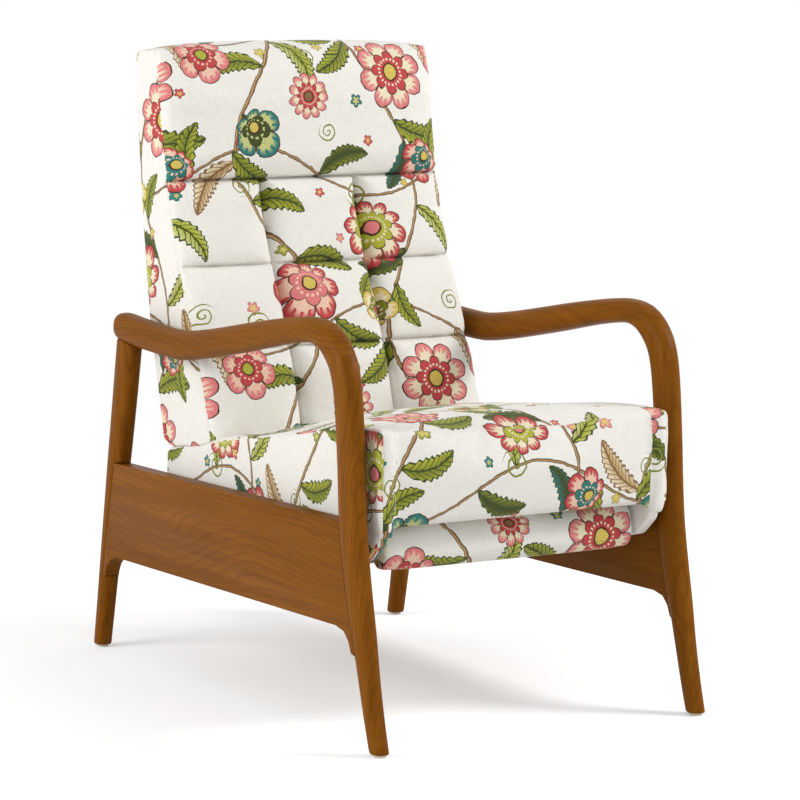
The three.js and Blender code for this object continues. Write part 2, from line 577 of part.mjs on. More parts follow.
// The inside back: three columns and three rows of sewn channels
const columns = 3;
const rows = 3;
const channelSwell = 20;
const cushionCrown = 8;
const headFoot = backFoot + backHeight * 0.653;
const quiltGrid = { across: columns * 8, up: rows * 6 };
function quilted() {
  const [positions, faces] = [[], []];
  const row = quiltGrid.up + 1;
  const place = (side, i, j) => {
    const [u, v] = [i / quiltGrid.across, j / quiltGrid.up];
    const x = (2 * u - 1) * boxingInside;
    const foot = backFoot + backHeight * (side ? 0.026 : 0.004);
    const z = foot + (headFoot - foot) * v;
    const pillow = Math.abs(Math.sin(columns * Math.PI * u) * Math.sin(rows * Math.PI * v));
    const swell = channelSwell * pillow ** 0.5;
    const crown = cushionCrown * Math.sin(Math.PI * u) ** 0.5;
    const y = side ? frontAt(z) - (swell + crown) : rearAt(z) - postFront - fit * 2.5;
    return [x, y, z];
  };
  for (const side of [0, 1]) {
    for (let i = 0; i <= quiltGrid.across; i += 1) {
      for (let j = 0; j <= quiltGrid.up; j += 1) positions.push(...place(side, i, j));
    }
  }
  const at = (side, i, j) => side * (quiltGrid.across + 1) * row + i * row + j;
  const quad = (a, b, c, d) => faces.push(a, b, c, a, c, d);
  for (let i = 0; i < quiltGrid.across; i += 1) {
    for (let j = 0; j < quiltGrid.up; j += 1) {
      quad(at(1, i, j), at(1, i + 1, j), at(1, i + 1, j + 1), at(1, i, j + 1));
      quad(at(0, i, j), at(0, i, j + 1), at(0, i + 1, j + 1), at(0, i + 1, j));
    }
    quad(at(0, i, 0), at(0, i + 1, 0), at(1, i + 1, 0), at(1, i, 0));
    const head = quiltGrid.up;
    quad(at(1, i, head), at(1, i + 1, head), at(0, i + 1, head), at(0, i, head));
  }
  for (let j = 0; j < quiltGrid.up; j += 1) {
    quad(at(0, 0, j), at(1, 0, j), at(1, 0, j + 1), at(0, 0, j + 1));
    const last = quiltGrid.across;
    quad(at(1, last, j), at(0, last, j), at(0, last, j + 1), at(1, last, j + 1));
  }
  const geometry = new THREE.BufferGeometry();
  geometry.setAttribute('position', new THREE.Float32BufferAttribute(positions, 3));
  return geometry.setIndex(faces);
}
add('back_cushion', quilted(), linen);

// The headrest: a bolster across the top that closes over the posts
const headTop = backFoot + backHeight;
const headUnder = postTop + fit;
const headEase = 1;
const headSwellDepth = 17;
const headCrown = 6;
const headDrawnIn = 6;
const headStations = 15;
const headRear = backFoot + backHeight * 0.968;
const headOutline = [
  [rearAt(headFoot) - postFront - fit, headFoot + fit], [rearAt(headUnder) - postFront - fit, headUnder],
  [rearAt(headUnder) - postRear, headUnder], [rearAt(headRear) - postRear, headRear],
  [rearAt(headRear), headRear + fit],
  [rearAt(headTop) - backHeight * 0.012, headTop - backHeight * 0.012],
  [rearAt(headTop) - backHeight * 0.04, headTop - headEase],
  [frontAt(headTop) + backHeight * 0.03, headTop - headEase],
  [frontAt(headTop) + backHeight * 0.003, headTop - backHeight * 0.015],
  ...[0.955, 0.87, 0.78, 0.71, 0.675, 0.66].map((up) => {
    const z = backFoot + backHeight * up;
    const bulge = Math.sin(Math.PI * Math.min(1, Math.max(0, (up - 0.645) / 0.33)));
    return [frontAt(z) - headSwellDepth * bulge ** 0.6, z];
  }),
  [frontAt(headFoot) + backHeight * 0.012, headFoot + fit]];
const headSwell = (y, z) => ({ dy: y < frontAt(z) ? -1 : 0, dz: z > headTop - backHeight * 0.02 ? 0.8 : 0 });
add('headrest_cushion', crowned(
  headOutline, boxingInside, headCrown, headDrawnIn, headSwell, headStations), linen);

// The reclining hinge: an arm on each post and a pin through it and the side plate
const hingeTop = postFoot + backHeight * 0.11;
const armAt = (z) => rearAt(z) - postRear - postDepth / 2;
const hingeShape = new THREE.Shape();
hingeShape.absarc(...backPivot, backEye, Math.PI, Math.PI * 2, false);
hingeShape.lineTo(armAt(postFoot) + backEye, postFoot);
hingeShape.lineTo(armAt(hingeTop) + backEye, hingeTop);
hingeShape.lineTo(armAt(hingeTop) - backEye, hingeTop);
hingeShape.lineTo(armAt(postFoot) - backEye, postFoot);
hingeShape.holes.push(circleHole(backPivot, hingePinRadius + fit));
addPair('hinge_arm', board(hingeShape, -underPosts, -underPosts + hingeThickness), steel);
addPair('recline_pin', bar(-plateOuter, -underPosts + hingeThickness, backPivot, hingePinRadius), steel);

export default chair;
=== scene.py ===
import math
from functools import partial

import bpy
import numpy as np
from mathutils import Matrix, Vector


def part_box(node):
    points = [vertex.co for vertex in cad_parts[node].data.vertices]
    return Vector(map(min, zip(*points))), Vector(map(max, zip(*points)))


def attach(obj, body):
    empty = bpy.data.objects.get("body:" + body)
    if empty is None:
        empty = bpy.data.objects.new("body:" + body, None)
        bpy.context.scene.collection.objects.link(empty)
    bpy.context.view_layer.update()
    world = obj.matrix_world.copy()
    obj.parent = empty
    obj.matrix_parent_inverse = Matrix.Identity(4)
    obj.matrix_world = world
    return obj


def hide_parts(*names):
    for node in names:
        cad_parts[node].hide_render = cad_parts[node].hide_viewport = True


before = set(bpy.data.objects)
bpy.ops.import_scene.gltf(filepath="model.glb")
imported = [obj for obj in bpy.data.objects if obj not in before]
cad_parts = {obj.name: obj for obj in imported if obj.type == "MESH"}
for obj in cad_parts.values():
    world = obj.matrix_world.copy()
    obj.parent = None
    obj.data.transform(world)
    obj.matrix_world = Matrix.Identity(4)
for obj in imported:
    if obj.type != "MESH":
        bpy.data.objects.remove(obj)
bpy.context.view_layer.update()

# The camera stands where the photographer stood: low, in front and to the chair's side, about six
# metres away with a long lens, and rolled a little. The chair is the right size in its frame.
camera_azimuth = math.radians(-32)
camera_elevation = math.radians(8.187)
camera_roll = math.radians(0.854)
camera_distance = 6.0217
camera_target = Vector((0, -0.02436, 0.47335))
frame_pixels = 800
focal_pixels = 3662.36
sensor_width = 36

away = Vector((
    math.sin(camera_azimuth) * math.cos(camera_elevation),
    -math.cos(camera_azimuth) * math.cos(camera_elevation),
    math.sin(camera_elevation),
))
level = (-away).cross(Vector((0, 0, 1))).normalized()
upright = level.cross(-away)
side = level * math.cos(camera_roll) + upright * math.sin(camera_roll)
top = upright * math.cos(camera_roll) - level * math.sin(camera_roll)

view = bpy.data.cameras.new("photo_camera")
view.sensor_fit = "HORIZONTAL"
view.sensor_width = sensor_width
view.lens = focal_pixels * sensor_width / frame_pixels
view.clip_end = 100
camera = bpy.data.objects.new("photo_camera", view)
bpy.context.scene.collection.objects.link(camera)
camera.matrix_world = Matrix.Translation(camera_target + away * camera_distance) @ Matrix((
    (side.x, top.x, away.x, 0),
    (side.y, top.y, away.y, 0),
    (side.z, top.z, away.z, 0),
    (0, 0, 0, 1),
))
bpy.context.scene.camera = camera
bpy.context.scene.view_settings.view_transform = "Standard"


# A studio: a white paper floor and three soft lamps, the key high on the chair's far side, so that
# its shadow falls towards the camera. The paper keeps the shadow and is white further out.
def new_material(name):
    material = bpy.data.materials.new(name)
    material.use_nodes = True
    material.node_tree.nodes.clear()
    return material, material.node_tree


def put(tree, kind, inputs=None, **settings):
    """Adds a node, sets its own values and sockets, and links any socket given as another's output."""
    node = tree.nodes.new(kind)
    for name, value in settings.items():
        setattr(node, name, value)
    for name, value in (inputs or {}).items():
        socket = node.inputs[name]
        if isinstance(value, bpy.types.NodeSocket):
            tree.links.new(value, socket)
        else:
            socket.default_value = value
    return node


def maths(tree, operation, *values, clamp=False):
    return put(tree, "ShaderNodeMath", dict(enumerate(values)), operation=operation, use_clamp=clamp).outputs[0]


def mixed(tree, factor, below, above, blend="MIX"):
    return put(tree, "ShaderNodeMix", {"Factor": factor, 6: below, 7: above}, data_type="RGBA",
               blend_type=blend).outputs[2]


def seen_plainly(tree):
    """1 where the camera sees a surface straight or in a reflection, and whether light passes through."""
    rays = put(tree, "ShaderNodeLightPath").outputs
    return maths(tree, "MAXIMUM", rays["Is Camera Ray"], rays["Is Glossy Ray"]), rays["Is Transmission Ray"]


floor_size = 24
paper_colour = (0.8, 0.8, 0.8, 1)
paper_seen = (1.3, 1.31, 1.33, 1)
paper_glow = 0.3
shadow_reach = (1.3, 2.8)
air_strength = 0.5

bpy.ops.mesh.primitive_plane_add(size=floor_size, location=(0, 0, 0))
floor = bpy.context.object
floor.name = "studio_floor"
paper, tree = new_material("studio_paper")
seen, _ = seen_plainly(tree)
paper_tone = mixed(tree, seen, paper_colour, paper_seen)
matt = put(tree, "ShaderNodeBsdfDiffuse", {"Color": paper_tone})
glow = put(tree, "ShaderNodeEmission", {"Color": (1, 1, 1, 1), "Strength": 1.0})
where = put(tree, "ShaderNodeTexCoord").outputs["Object"]
from_chair = put(tree, "ShaderNodeVectorMath", {0: where}, operation="LENGTH")
whitening = put(tree, "ShaderNodeMapRange", {
    "Value": from_chair.outputs["Value"], "From Min": shadow_reach[0], "From Max": shadow_reach[1],
    "To Min": paper_glow, "To Max": 1.0}, interpolation_type="SMOOTHSTEP")
glow_share = maths(tree, "MULTIPLY", seen, whitening.outputs[0])
lit = put(tree, "ShaderNodeMixShader", {0: glow_share, 1: matt.outputs[0], 2: glow.outputs[0]})
put(tree, "ShaderNodeOutputMaterial", {"Surface": lit.outputs[0]})
floor.data.materials.append(paper)

world = bpy.data.worlds.new("studio_air")
bpy.context.scene.world = world
world.use_nodes = True
tree = world.node_tree
tree.nodes.clear()
shown = maths(tree, "MAXIMUM", *seen_plainly(tree))
ambient = put(tree, "ShaderNodeBackground", {"Color": (1, 1, 0.99, 1), "Strength": air_strength})
backdrop = put(tree, "ShaderNodeBackground", {"Color": (1, 1, 1, 1), "Strength": 1})
air = put(tree, "ShaderNodeMixShader", {0: shown, 1: ambient.outputs[0], 2: backdrop.outputs[0]})
put(tree, "ShaderNodeOutputWorld", {"Surface": air.outputs[0]})

lamp_aim = Vector((0, 0, 0.5))
lamps = (
    ("key_lamp", (3.1, -2.0, 3.1), 1.4, 118),
    ("side_lamp", (-4.4, 0.5, 1.9), 2.6, 120),
    ("front_lamp", (-1.6, -4.2, 2.4), 3.0, 26),
)
for name, place, size, power in lamps:
    light = bpy.data.lights.new(name, "AREA")
    light.shape = "DISK"
    light.size = size
    light.energy = power
    lamp = bpy.data.objects.new(name, light)
    bpy.context.scene.collection.objects.link(lamp)
    lamp.location = place
    lamp.rotation_euler = (Vector(place) - lamp_aim).to_track_quat("Z", "Y").to_euler()


# The side frames' timber: arms, legs and side panels in oiled walnut with a satin finish, sawn
# from plank, so the grain runs straight along each arm and panel and straight up each leg.
def new_group(name, outputs, **inputs):
    """A shader node group with sockets named by kind, the values it is given and those it gives out."""
    group = bpy.data.node_groups.new(name, "ShaderNodeTree")
    for kind, names in inputs.items():
        for socket_name in names:
            group.interface.new_socket(socket_name, in_out="INPUT", socket_type=f"NodeSocket{kind}")
    for socket_name in outputs:
        kind = "Color" if socket_name == "Color" else "Float"
        group.interface.new_socket(socket_name, in_out="OUTPUT", socket_type=f"NodeSocket{kind}")
    return group, group.nodes.new("NodeGroupInput").outputs, group.nodes.new("NodeGroupOutput").inputs


def noise(tree, where, scale, detail, **more):
    return put(tree, "ShaderNodeTexNoise", {"Vector": where, "Scale": scale, "Detail": detail, **more}).outputs["Fac"]


def stretched(tree, where, scale):
    return put(tree, "ShaderNodeMapping", {"Vector": where, "Scale": scale}).outputs[0]


def parted(tree, where):
    return put(tree, "ShaderNodeSeparateXYZ", {"Vector": where}).outputs


def vectors(tree, operation, *values, **named):
    return put(tree, "ShaderNodeVectorMath", dict(enumerate(values)) | named, operation=operation).outputs[0]


def length_of(tree, where):
    return put(tree, "ShaderNodeVectorMath", {0: where}, operation="LENGTH").outputs["Value"]


def surfaced(tree, tone, roughness, height, strength, distance, **values):
    """Ends a material with its bump and shader. Further values name the shader's own sockets."""
    bump = put(tree, "ShaderNodeBump", {"Height": height, "Strength": strength, "Distance": distance})
    inputs = {"Base Color": tone, "Roughness": roughness, "Normal": bump.outputs[0]}
    inputs |= {name.replace("_", " "): value for name, value in values.items()}
    shader = put(tree, "ShaderNodeBsdfPrincipled", inputs)
    put(tree, "ShaderNodeOutputMaterial", {"Surface": shader.outputs[0]})


def place_group(tree, group, inputs):
    return put(tree, "ShaderNodeGroup", inputs, node_tree=group).outputs


def on_object(tree):
    return put(tree, "ShaderNodeTexCoord").outputs["Object"]


def ramp(tree, factor, stops):
    """A colour ramp between stops of place and colour."""
    node = put(tree, "ShaderNodeValToRGB", {"Fac": factor})
    steps = node.color_ramp.elements
    while len(steps) < len(stops):
        steps.new(0.5)
    for step, (place, colour) in zip(steps, stops):
        step.position = place
        step.color = colour
    return node.outputs["Color"]


def colour(red, green, blue):
    """A colour written as the screen shows it, from 0 to 255, as the linear one that a socket takes."""
    def linear(value):
        share = value / 255
        return share / 12.92 if share <= 0.04045 else ((share + 0.055) / 1.055) ** 2.4
    return (linear(red), linear(green), linear(blue), 1)


# Grain: Vector runs along the fibres in Z. Figure is the plain-sawn rings, which wander enough to
# close into arches, Streaks the fine lines and Pores the short dark flecks.
grain_group, given, result = new_group(
    "timber_grain", ("Figure", "Streaks", "Pores"), Vector=("Vector",), Float=("Ring Width",))
calc = partial(maths, grain_group)
along = given["Vector"]
stretch = stretched(grain_group, along, (1, 1, 0.3))
wander = noise(grain_group, stretch, 9.0, 1.0)
ripple = noise(grain_group, stretch, 150.0, 2.0)
rings_at = calc("MULTIPLY_ADD", wander, 0.13, calc("MULTIPLY_ADD", ripple, 0.004, parted(grain_group, along)[1]))
rings = calc("MULTIPLY", rings_at, calc("DIVIDE", 2 * math.pi, given["Ring Width"]))
trough = calc("MULTIPLY_ADD", calc("SINE", rings), -0.5, 0.5)
ring_lines = calc("SUBTRACT", 1.0, calc("POWER", trough, 5.0))
bands = noise(grain_group, stretched(grain_group, along, (1, 1, 0.05)), 60.0, 3.0)
figure = calc("MULTIPLY_ADD", ring_lines, 0.17, calc("MULTIPLY", bands, 0.74))
streaks = noise(grain_group, stretched(grain_group, along, (1, 1, 0.025)), 330.0, 4.0, Roughness=0.6)
pores = noise(grain_group, stretched(grain_group, along, (1, 1, 0.06)), 900.0, 1.0)
pore_mask = put(grain_group, "ShaderNodeMapRange", {"Value": pores, "From Min": 0.6, "From Max": 0.72}).outputs[0]
for name, value in (("Figure", figure), ("Streaks", streaks), ("Pores", pore_mask)):
    grain_group.links.new(value, result[name])


def timber(name, turn, ring_width, tones, roughness, coat, pore_depth):
    """A timber finish. turn takes the grain's direction to Z; tones run from dark to light."""
    material, tree = new_material(name)
    where = on_object(tree)
    turned = put(tree, "ShaderNodeMapping", {"Vector": where, "Rotation": turn}).outputs[0]
    grain = place_group(tree, grain_group, {"Vector": turned, "Ring Width": ring_width})
    broad = ramp(tree, grain["Figure"], [(0.28, tones[1]), (0.56, tones[2]), (0.76, tones[3])])
    streak = ramp(tree, grain["Streaks"], [(0.32, (0.88, 0.86, 0.82, 1)), (0.62, (1.04, 1.04, 1.03, 1))])
    figured = mixed(tree, 0.8, broad, streak, "MULTIPLY")
    cloud = ramp(tree, noise(tree, turned, 4.0, 2.0), [(0.3, (0.93, 0.92, 0.91, 1)), (0.7, (1.05, 1.05, 1.05, 1))])
    clouded = mixed(tree, 1.0, figured, cloud, "MULTIPLY")
    pored = mixed(tree, maths(tree, "MULTIPLY", grain["Pores"], 0.35), clouded, tones[0])
    rough = maths(tree, "MULTIPLY_ADD", grain["Streaks"], 0.14, roughness - 0.07)
    height = maths(tree, "MULTIPLY_ADD", grain["Pores"], -1.0, grain["Streaks"])
    surfaced(tree, pored, rough, height, pore_depth, 0.0002, Coat_Weight=coat, Coat_Roughness=0.3,
             Specular_IOR_Level=0.05)
    return material


walnut_tones = (colour(70, 36, 4), colour(111, 64, 7), colour(126, 75, 11), colour(140, 86, 18))
lengthwise, upright_grain = (math.radians(90), 0, 0), (0, 0, 0)
oiled_walnut = {"ring_width": 0.009, "tones": walnut_tones, "roughness": 0.42, "coat": 0.02, "pore_depth": 0.25}
walnut_along = timber("oiled_walnut_along", lengthwise, **oiled_walnut)
walnut_up = timber("oiled_walnut_up", upright_grain, **oiled_walnut)


def dressed(piece, material):
    piece.data.materials.clear()
    piece.data.materials.append(material)


def taken_up(*pieces):
    """Selects the pieces alone, the first of them active."""
    if bpy.context.object and bpy.context.object.mode != "OBJECT":
        bpy.ops.object.mode_set(mode="OBJECT")
    bpy.ops.object.select_all(action="DESELECT")
    for piece in pieces:
        piece.select_set(True)
    bpy.context.view_layer.objects.active = pieces[0]


def read(parts, key, width=3):
    """One value of each of a mesh's parts, as rows of the given width."""
    flat = np.zeros(len(parts) * width)
    parts.foreach_get(key, flat)
    return flat.reshape(-1, width)


def twin(source, name):
    """A copy of an object with a mesh of its own."""
    piece = source.copy()
    piece.data = source.data.copy()
    piece.name = name
    bpy.context.scene.collection.objects.link(piece)
    return piece


def node_copy(node, name):
    """A copy of a CAD node's mesh with its loose triangles joined, as an object of its own."""
    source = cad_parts[node]
    piece = bpy.data.objects.new(name, source.data.copy())
    bpy.context.scene.collection.objects.link(piece)
    piece.data.materials.clear()
    taken_up(piece)
    bpy.ops.object.mode_set(mode="EDIT")
    bpy.ops.mesh.select_all(action="SELECT")
    bpy.ops.mesh.remove_doubles(threshold=0.00002)
    bpy.ops.object.mode_set(mode="OBJECT")
    return piece


def applied(piece, kind, **settings):
    modifier = piece.modifiers.new(kind.lower(), kind)
    for name, value in settings.items():
        setattr(modifier, name, value)
    bpy.context.view_layer.objects.active = piece
    bpy.ops.object.modifier_apply(modifier=modifier.name)


def softened(piece, grid, passes):
    """Rebuilds a piece on an even grid and smooths it, so that facets go and edges are eased."""
    applied(piece, "REMESH", mode="VOXEL", voxel_size=grid, adaptivity=0)
    applied(piece, "SMOOTH", factor=0.5, iterations=passes)


def sanded(piece, grid, passes):
    softened(piece, grid, passes)
    piece.data.shade_smooth()


def finished(piece, body, nodes, material):
    dressed(piece, material)
    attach(piece, body)
    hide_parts(*nodes)


def joined(pieces):
    """Joins pieces into the first of them."""
    taken_up(*pieces)
    bpy.ops.object.join()
    return pieces[0]


def cut_away(piece, at, normal, chosen=None):
    """Saws a piece off flat at a plane, on the side that the normal points to, and closes the cut."""
    taken_up(piece)
    bpy.ops.object.mode_set(mode="EDIT")
    bpy.ops.mesh.select_all(action="SELECT")
    if chosen is not None:
        bpy.ops.mesh.select_all(action="DESELECT")
        bpy.ops.object.mode_set(mode="OBJECT")
        piece.data.polygons.foreach_set("select", chosen(read(piece.data.polygons, "center")))
        bpy.ops.object.mode_set(mode="EDIT")
    bpy.ops.mesh.bisect(plane_co=at, plane_no=normal, use_fill=True, clear_outer=True)
    bpy.ops.object.mode_set(mode="OBJECT")


def smooth_shaded(piece, angle=40):
    taken_up(piece)
    bpy.ops.object.shade_smooth_by_angle(angle=math.radians(angle))


# The arm and the front leg are glued end to end, then shaped and sanded together, so that only a
# hairline shows where they meet.
limb_grid = 0.0022
limb_sanding = 7
glue_line = 0.00004
turn_down = -0.25
for side_name in ("left", "right"):
    bow = joined([node_copy(f"arm_{side_name}", f"arm_{side_name}_timber"),
                  node_copy(f"front_leg_{side_name}", f"front_leg_{side_name}_timber")])
    sanded(bow, limb_grid, limb_sanding)
    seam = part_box(f"front_leg_{side_name}")[1].z
    leg = twin(bow, f"front_leg_{side_name}_timber")
    cut_away(bow, (0, 0, seam + glue_line), (0, 0, -1), lambda places: places[:, 1] < turn_down)
    cut_away(leg, (0, 0, seam - glue_line), (0, 0, 1))
    cut_away(leg, (0, turn_down, 0), (0, 1, 0))
    limbs = ((bow, f"arm_{side_name}", walnut_along), (leg, f"front_leg_{side_name}", walnut_up))
    for piece, node, material in limbs:
        smooth_shaded(piece)
        finished(piece, "side_frames", [node], material)
    node = f"rear_leg_{side_name}"
    piece = node_copy(node, f"{node}_timber")
    sanded(piece, limb_grid, limb_sanding)
    finished(piece, "side_frames", [node], walnut_up)

panel_edge = 0.0025
for side_name in ("left", "right"):
    node = f"side_panel_{side_name}"
    piece = node_copy(node, f"{node}_timber")
    applied(piece, "BEVEL", width=panel_edge, segments=3, limit_method="ANGLE", angle_limit=math.radians(50))
    smooth_shaded(piece, 35)
    finished(piece, "side_frames", [node], walnut_along)


# Inner timber: the beech stretchers and the seat's and back's rails and posts, planed and plain.
# The fabric hides most of it; it shows under the seat and when the footrest is out.
beech_tones = (colour(150, 110, 70), colour(196, 158, 112), colour(208, 172, 126), colour(220, 188, 144))
across_grain = (0, math.radians(90), 0)
planed_beech = {"ring_width": 0.011, "tones": beech_tones, "roughness": 0.55, "coat": 0.0, "pore_depth": 0.2}
beech_across = timber("planed_beech_across", across_grain, **planed_beech)
beech_along = timber("planed_beech_along", lengthwise, **planed_beech)
beech_up = timber("planed_beech_up", upright_grain, **planed_beech)
inner_timber = {
    beech_across: ("front_stretcher", "rear_stretcher", "seat_front_rail", "seat_rear_rail", "back_lower_rail",
                   "back_middle_rail", "back_upper_rail", "footrest_board"),
    beech_along: ("seat_side_rail_left", "seat_side_rail_right"),
    beech_up: ("back_post_left", "back_post_right"),
}
for material, nodes in inner_timber.items():
    for node in nodes:
        dressed(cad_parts[node], material)


# The mechanism: plates, links, brackets and channels of pressed steel under a dark semi-gloss paint,
# with the tube, the pins and the seat's springs in the same paint. It shows when the chair opens.
painted_steel, tree = new_material("painted_steel")
where = on_object(tree)
mottle = noise(tree, where, 55.0, 5.0)
paint = ramp(tree, mottle, [(0.35, colour(41, 42, 45)), (0.65, colour(60, 61, 64))])
peel = noise(tree, where, 1400.0, 1.0)
rough = maths(tree, "MULTIPLY_ADD", mottle, 0.3, 0.22)
surfaced(tree, paint, rough, peel, 0.2, 0.0001, Specular_IOR_Level=0.45)


# The running parts: off-white nylon glides under the legs and shoes in the slide's channels, moulded,
# matt and faintly scuffed.
nylon, tree = new_material("moulded_nylon")
scuffs = noise(tree, stretched(tree, on_object(tree), (1, 0.15, 1)), 420.0, 4.0)
milky = ramp(tree, scuffs, [(0.35, colour(196, 192, 180)), (0.6, colour(222, 219, 208))])
rough = maths(tree, "MULTIPLY_ADD", scuffs, 0.2, 0.42)
surfaced(tree, milky, rough, scuffs, 0.15, 0.0001, Specular_IOR_Level=0.3)


# The webbing behind the channelled cushion: three dark elastic straps, woven with a cord every two
# and a half millimetres across and a pick every millimetre and a half up.
cord_pitch, pick_pitch = 0.0025, 0.0015
strap, tree = new_material("elastic_webbing")
where = parted(tree, on_object(tree))
cords = maths(tree, "SINE", maths(tree, "MULTIPLY", where[0], 2 * math.pi / cord_pitch))
picks = maths(tree, "SINE", maths(tree, "MULTIPLY", where[2], 2 * math.pi / pick_pitch))
ribs = maths(tree, "MULTIPLY_ADD", maths(tree, "MULTIPLY", cords, picks), 0.5, 0.5)
woven = ramp(tree, ribs, [(0.2, colour(44, 42, 40)), (0.8, colour(72, 69, 66))])
surfaced(tree, woven, 0.85, ribs, 0.5, 0.0004, Specular_IOR_Level=0.2)

inner_fittings = {
    painted_steel: ("slide_channel", "mechanism_plate", "drive_link", "extension_link", "torque_tube",
                    "footrest_bracket", "hinge_arm", "recline_pin", "seat_spring"),
    nylon: ("front_glide", "rear_glide", "front_slide_shoe", "rear_slide_shoe"),
    strap: ("back_web",),
}
for material, families in inner_fittings.items():
    for node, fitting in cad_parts.items():
        if node.startswith(families):
            dressed(fitting, material)


# The upholstery cloth: a plain-woven off-white linen with a slubbed thread, printed with a
# traditional trailing floral of vines, toothed leaves and layered blooms. One repeat of the
# print is 480 by 540 mm, and every piece's UV map is that piece laid flat, in metres.
repeat_size = (0.48, 0.54)


def over(tree, depth, limit, below, above):
    """The colour above wherever depth passes the limit, and otherwise the colour below."""
    return mixed(tree, maths(tree, "GREATER_THAN", depth, limit), below, above)


def after_below(group, given):
    """The cloth's coordinates, tied to the print below, so that the renderer works out one motif
    at a time and holds few numbers at once. The tie itself is always 1."""
    red = put(group, "ShaderNodeSeparateColor", {"Color": given["Below"]}).outputs[0]
    return vectors(group, "SCALE", given["Cloth"], Scale=maths(group, "GREATER_THAN", red, -1.0))


def motif_group(name, numbers, colours):
    """Starts a group for one printed motif, with its place on the cloth worked out, and short forms
    of maths and over for its nodes."""
    group, given, result = new_group(name, ("Color",), Vector=("Cloth", "Centre"), Float=("Turn", "Size") + numbers,
                                     Color=colours + ("Below",))
    moved = vectors(group, "SUBTRACT", after_below(group, given), given["Centre"])
    half = (repeat_size[0] / 2, repeat_size[1] / 2, 1)
    wrapped = vectors(group, "WRAP", moved, half, tuple(-h for h in half))
    turned = put(group, "ShaderNodeVectorRotate", {"Vector": wrapped, "Angle": given["Turn"]},
                 rotation_type="Z_AXIS").outputs[0]
    local = vectors(group, "SCALE", turned, Scale=maths(group, "DIVIDE", 1.0, given["Size"]))
    return group, given, result, local, partial(maths, group), partial(over, group)


ink = colour(70, 44, 30)

# A bloom: scalloped petals with a coloured margin and a hatched field, a second ring of petals
# and a round heart. Fan closes its lower side, as in a flower seen from the side.
bloom_group, given, result, local, calc, painted = motif_group(
    "printed_bloom", ("Petals", "Fan"), ("Margin", "Field", "Inner", "Heart"))
place = parted(bloom_group, local)
distance = length_of(bloom_group, local)
angle = calc("ARCTAN2", place[0], place[1])
lower = calc("MULTIPLY_ADD", calc("COSINE", angle), -0.5, 0.5)
closing = calc("MULTIPLY", lower, given["Fan"])
out = calc("DIVIDE", distance, calc("MULTIPLY_ADD", closing, -0.74, 1.0))
swing = calc("MULTIPLY", angle, calc("MULTIPLY", given["Petals"], 0.5))
petal = calc("ABSOLUTE", calc("COSINE", swing))
between = calc("ABSOLUTE", calc("SINE", swing))
edge = calc("MULTIPLY_ADD", calc("POWER", petal, 0.5), 0.34, 0.66)
depth = calc("SUBTRACT", edge, out)
shown = painted(depth, -0.035, given["Below"], ink)
shown = painted(depth, 0.0, shown, given["Margin"])
fade = put(bloom_group, "ShaderNodeMapRange", {"Value": depth, "From Min": 0.06, "From Max": 0.24}, clamp=True)
shown = mixed(bloom_group, fade.outputs[0], shown, given["Field"])
hatch = calc("SINE", calc("MULTIPLY", swing, 9.0))
hatched = calc("MINIMUM", calc("SUBTRACT", hatch, 0.35), calc("MULTIPLY_ADD", depth, -1.0, 0.24))
shown = painted(calc("MINIMUM", hatched, depth), 0.0, shown, given["Margin"])
split = calc("MINIMUM", calc("MULTIPLY_ADD", petal, -1.0, 0.13), depth)
shown = painted(split, 0.0, shown, ink)
inner_edge = calc("MULTIPLY_ADD", calc("POWER", between, 0.5), 0.22, 0.36)
inner_depth = calc("SUBTRACT", inner_edge, out)
shown = painted(inner_depth, -0.03, shown, ink)
shown = painted(inner_depth, 0.0, shown, given["Inner"])
stitch = calc("SINE", calc("MULTIPLY", swing, 5.0))
ringed = calc("MULTIPLY_ADD", calc("ABSOLUTE", calc("SUBTRACT", out, 0.36)), -1.0, 0.035)
shown = painted(calc("MINIMUM", stitch, ringed), 0.0, shown, given["Field"])
shown = painted(out, 0.25, mixed(bloom_group, calc("GREATER_THAN", out, 0.2), given["Heart"], ink), shown)
bloom_group.links.new(shown, result["Color"])

# A leaf: it grows up from its centre, bent to one side, with a toothed edge, a midrib and veins,
# and darkens towards the midrib and along each vein.
leaf_group, given, result, local, calc, painted = motif_group(
    "printed_leaf", ("Bend", "Width", "Teeth"), ("Light", "Dark", "Line"))
place = parted(leaf_group, local)
up = place[1]
rise = calc("MULTIPLY", calc("MULTIPLY", up, calc("SUBTRACT", 1.0, up)), 4.0)
bowed = calc("MULTIPLY_ADD", rise, calc("MULTIPLY", given["Bend"], -1.0), place[0])
off = calc("ABSOLUTE", bowed)
veins = calc("FRACT", calc("MULTIPLY", given["Teeth"], calc("MULTIPLY_ADD", off, -1.3, up)))
full = calc("POWER", calc("MAXIMUM", rise, 0.0), 0.62)
toothed = calc("MULTIPLY_ADD", veins, -0.24, 1.0)
half_width = calc("MULTIPLY", calc("MULTIPLY", full, toothed), given["Width"])
depth = calc("SUBTRACT", half_width, off)
shown = painted(depth, 0.0, given["Below"], given["Line"])
inward = calc("SUBTRACT", 0.9, calc("DIVIDE", off, half_width))
shaded = calc("MULTIPLY_ADD", calc("GREATER_THAN", bowed, 0.0), 0.4, inward)
shade = calc("MULTIPLY_ADD", veins, 0.35, calc("SUBTRACT", shaded, 0.2), clamp=True)
tone = mixed(leaf_group, shade, given["Light"], given["Dark"])
shown = painted(depth, 0.02, shown, tone)
vein = calc("MINIMUM", calc("MULTIPLY_ADD", veins, -1.0, 0.2), depth)
shown = painted(vein, 0.0, shown, given["Line"])
rib = calc("MINIMUM", calc("MULTIPLY_ADD", off, -1.0, 0.017), depth)
shown = painted(rib, 0.0, shown, given["Line"])
leaf_group.links.new(shown, result["Color"])

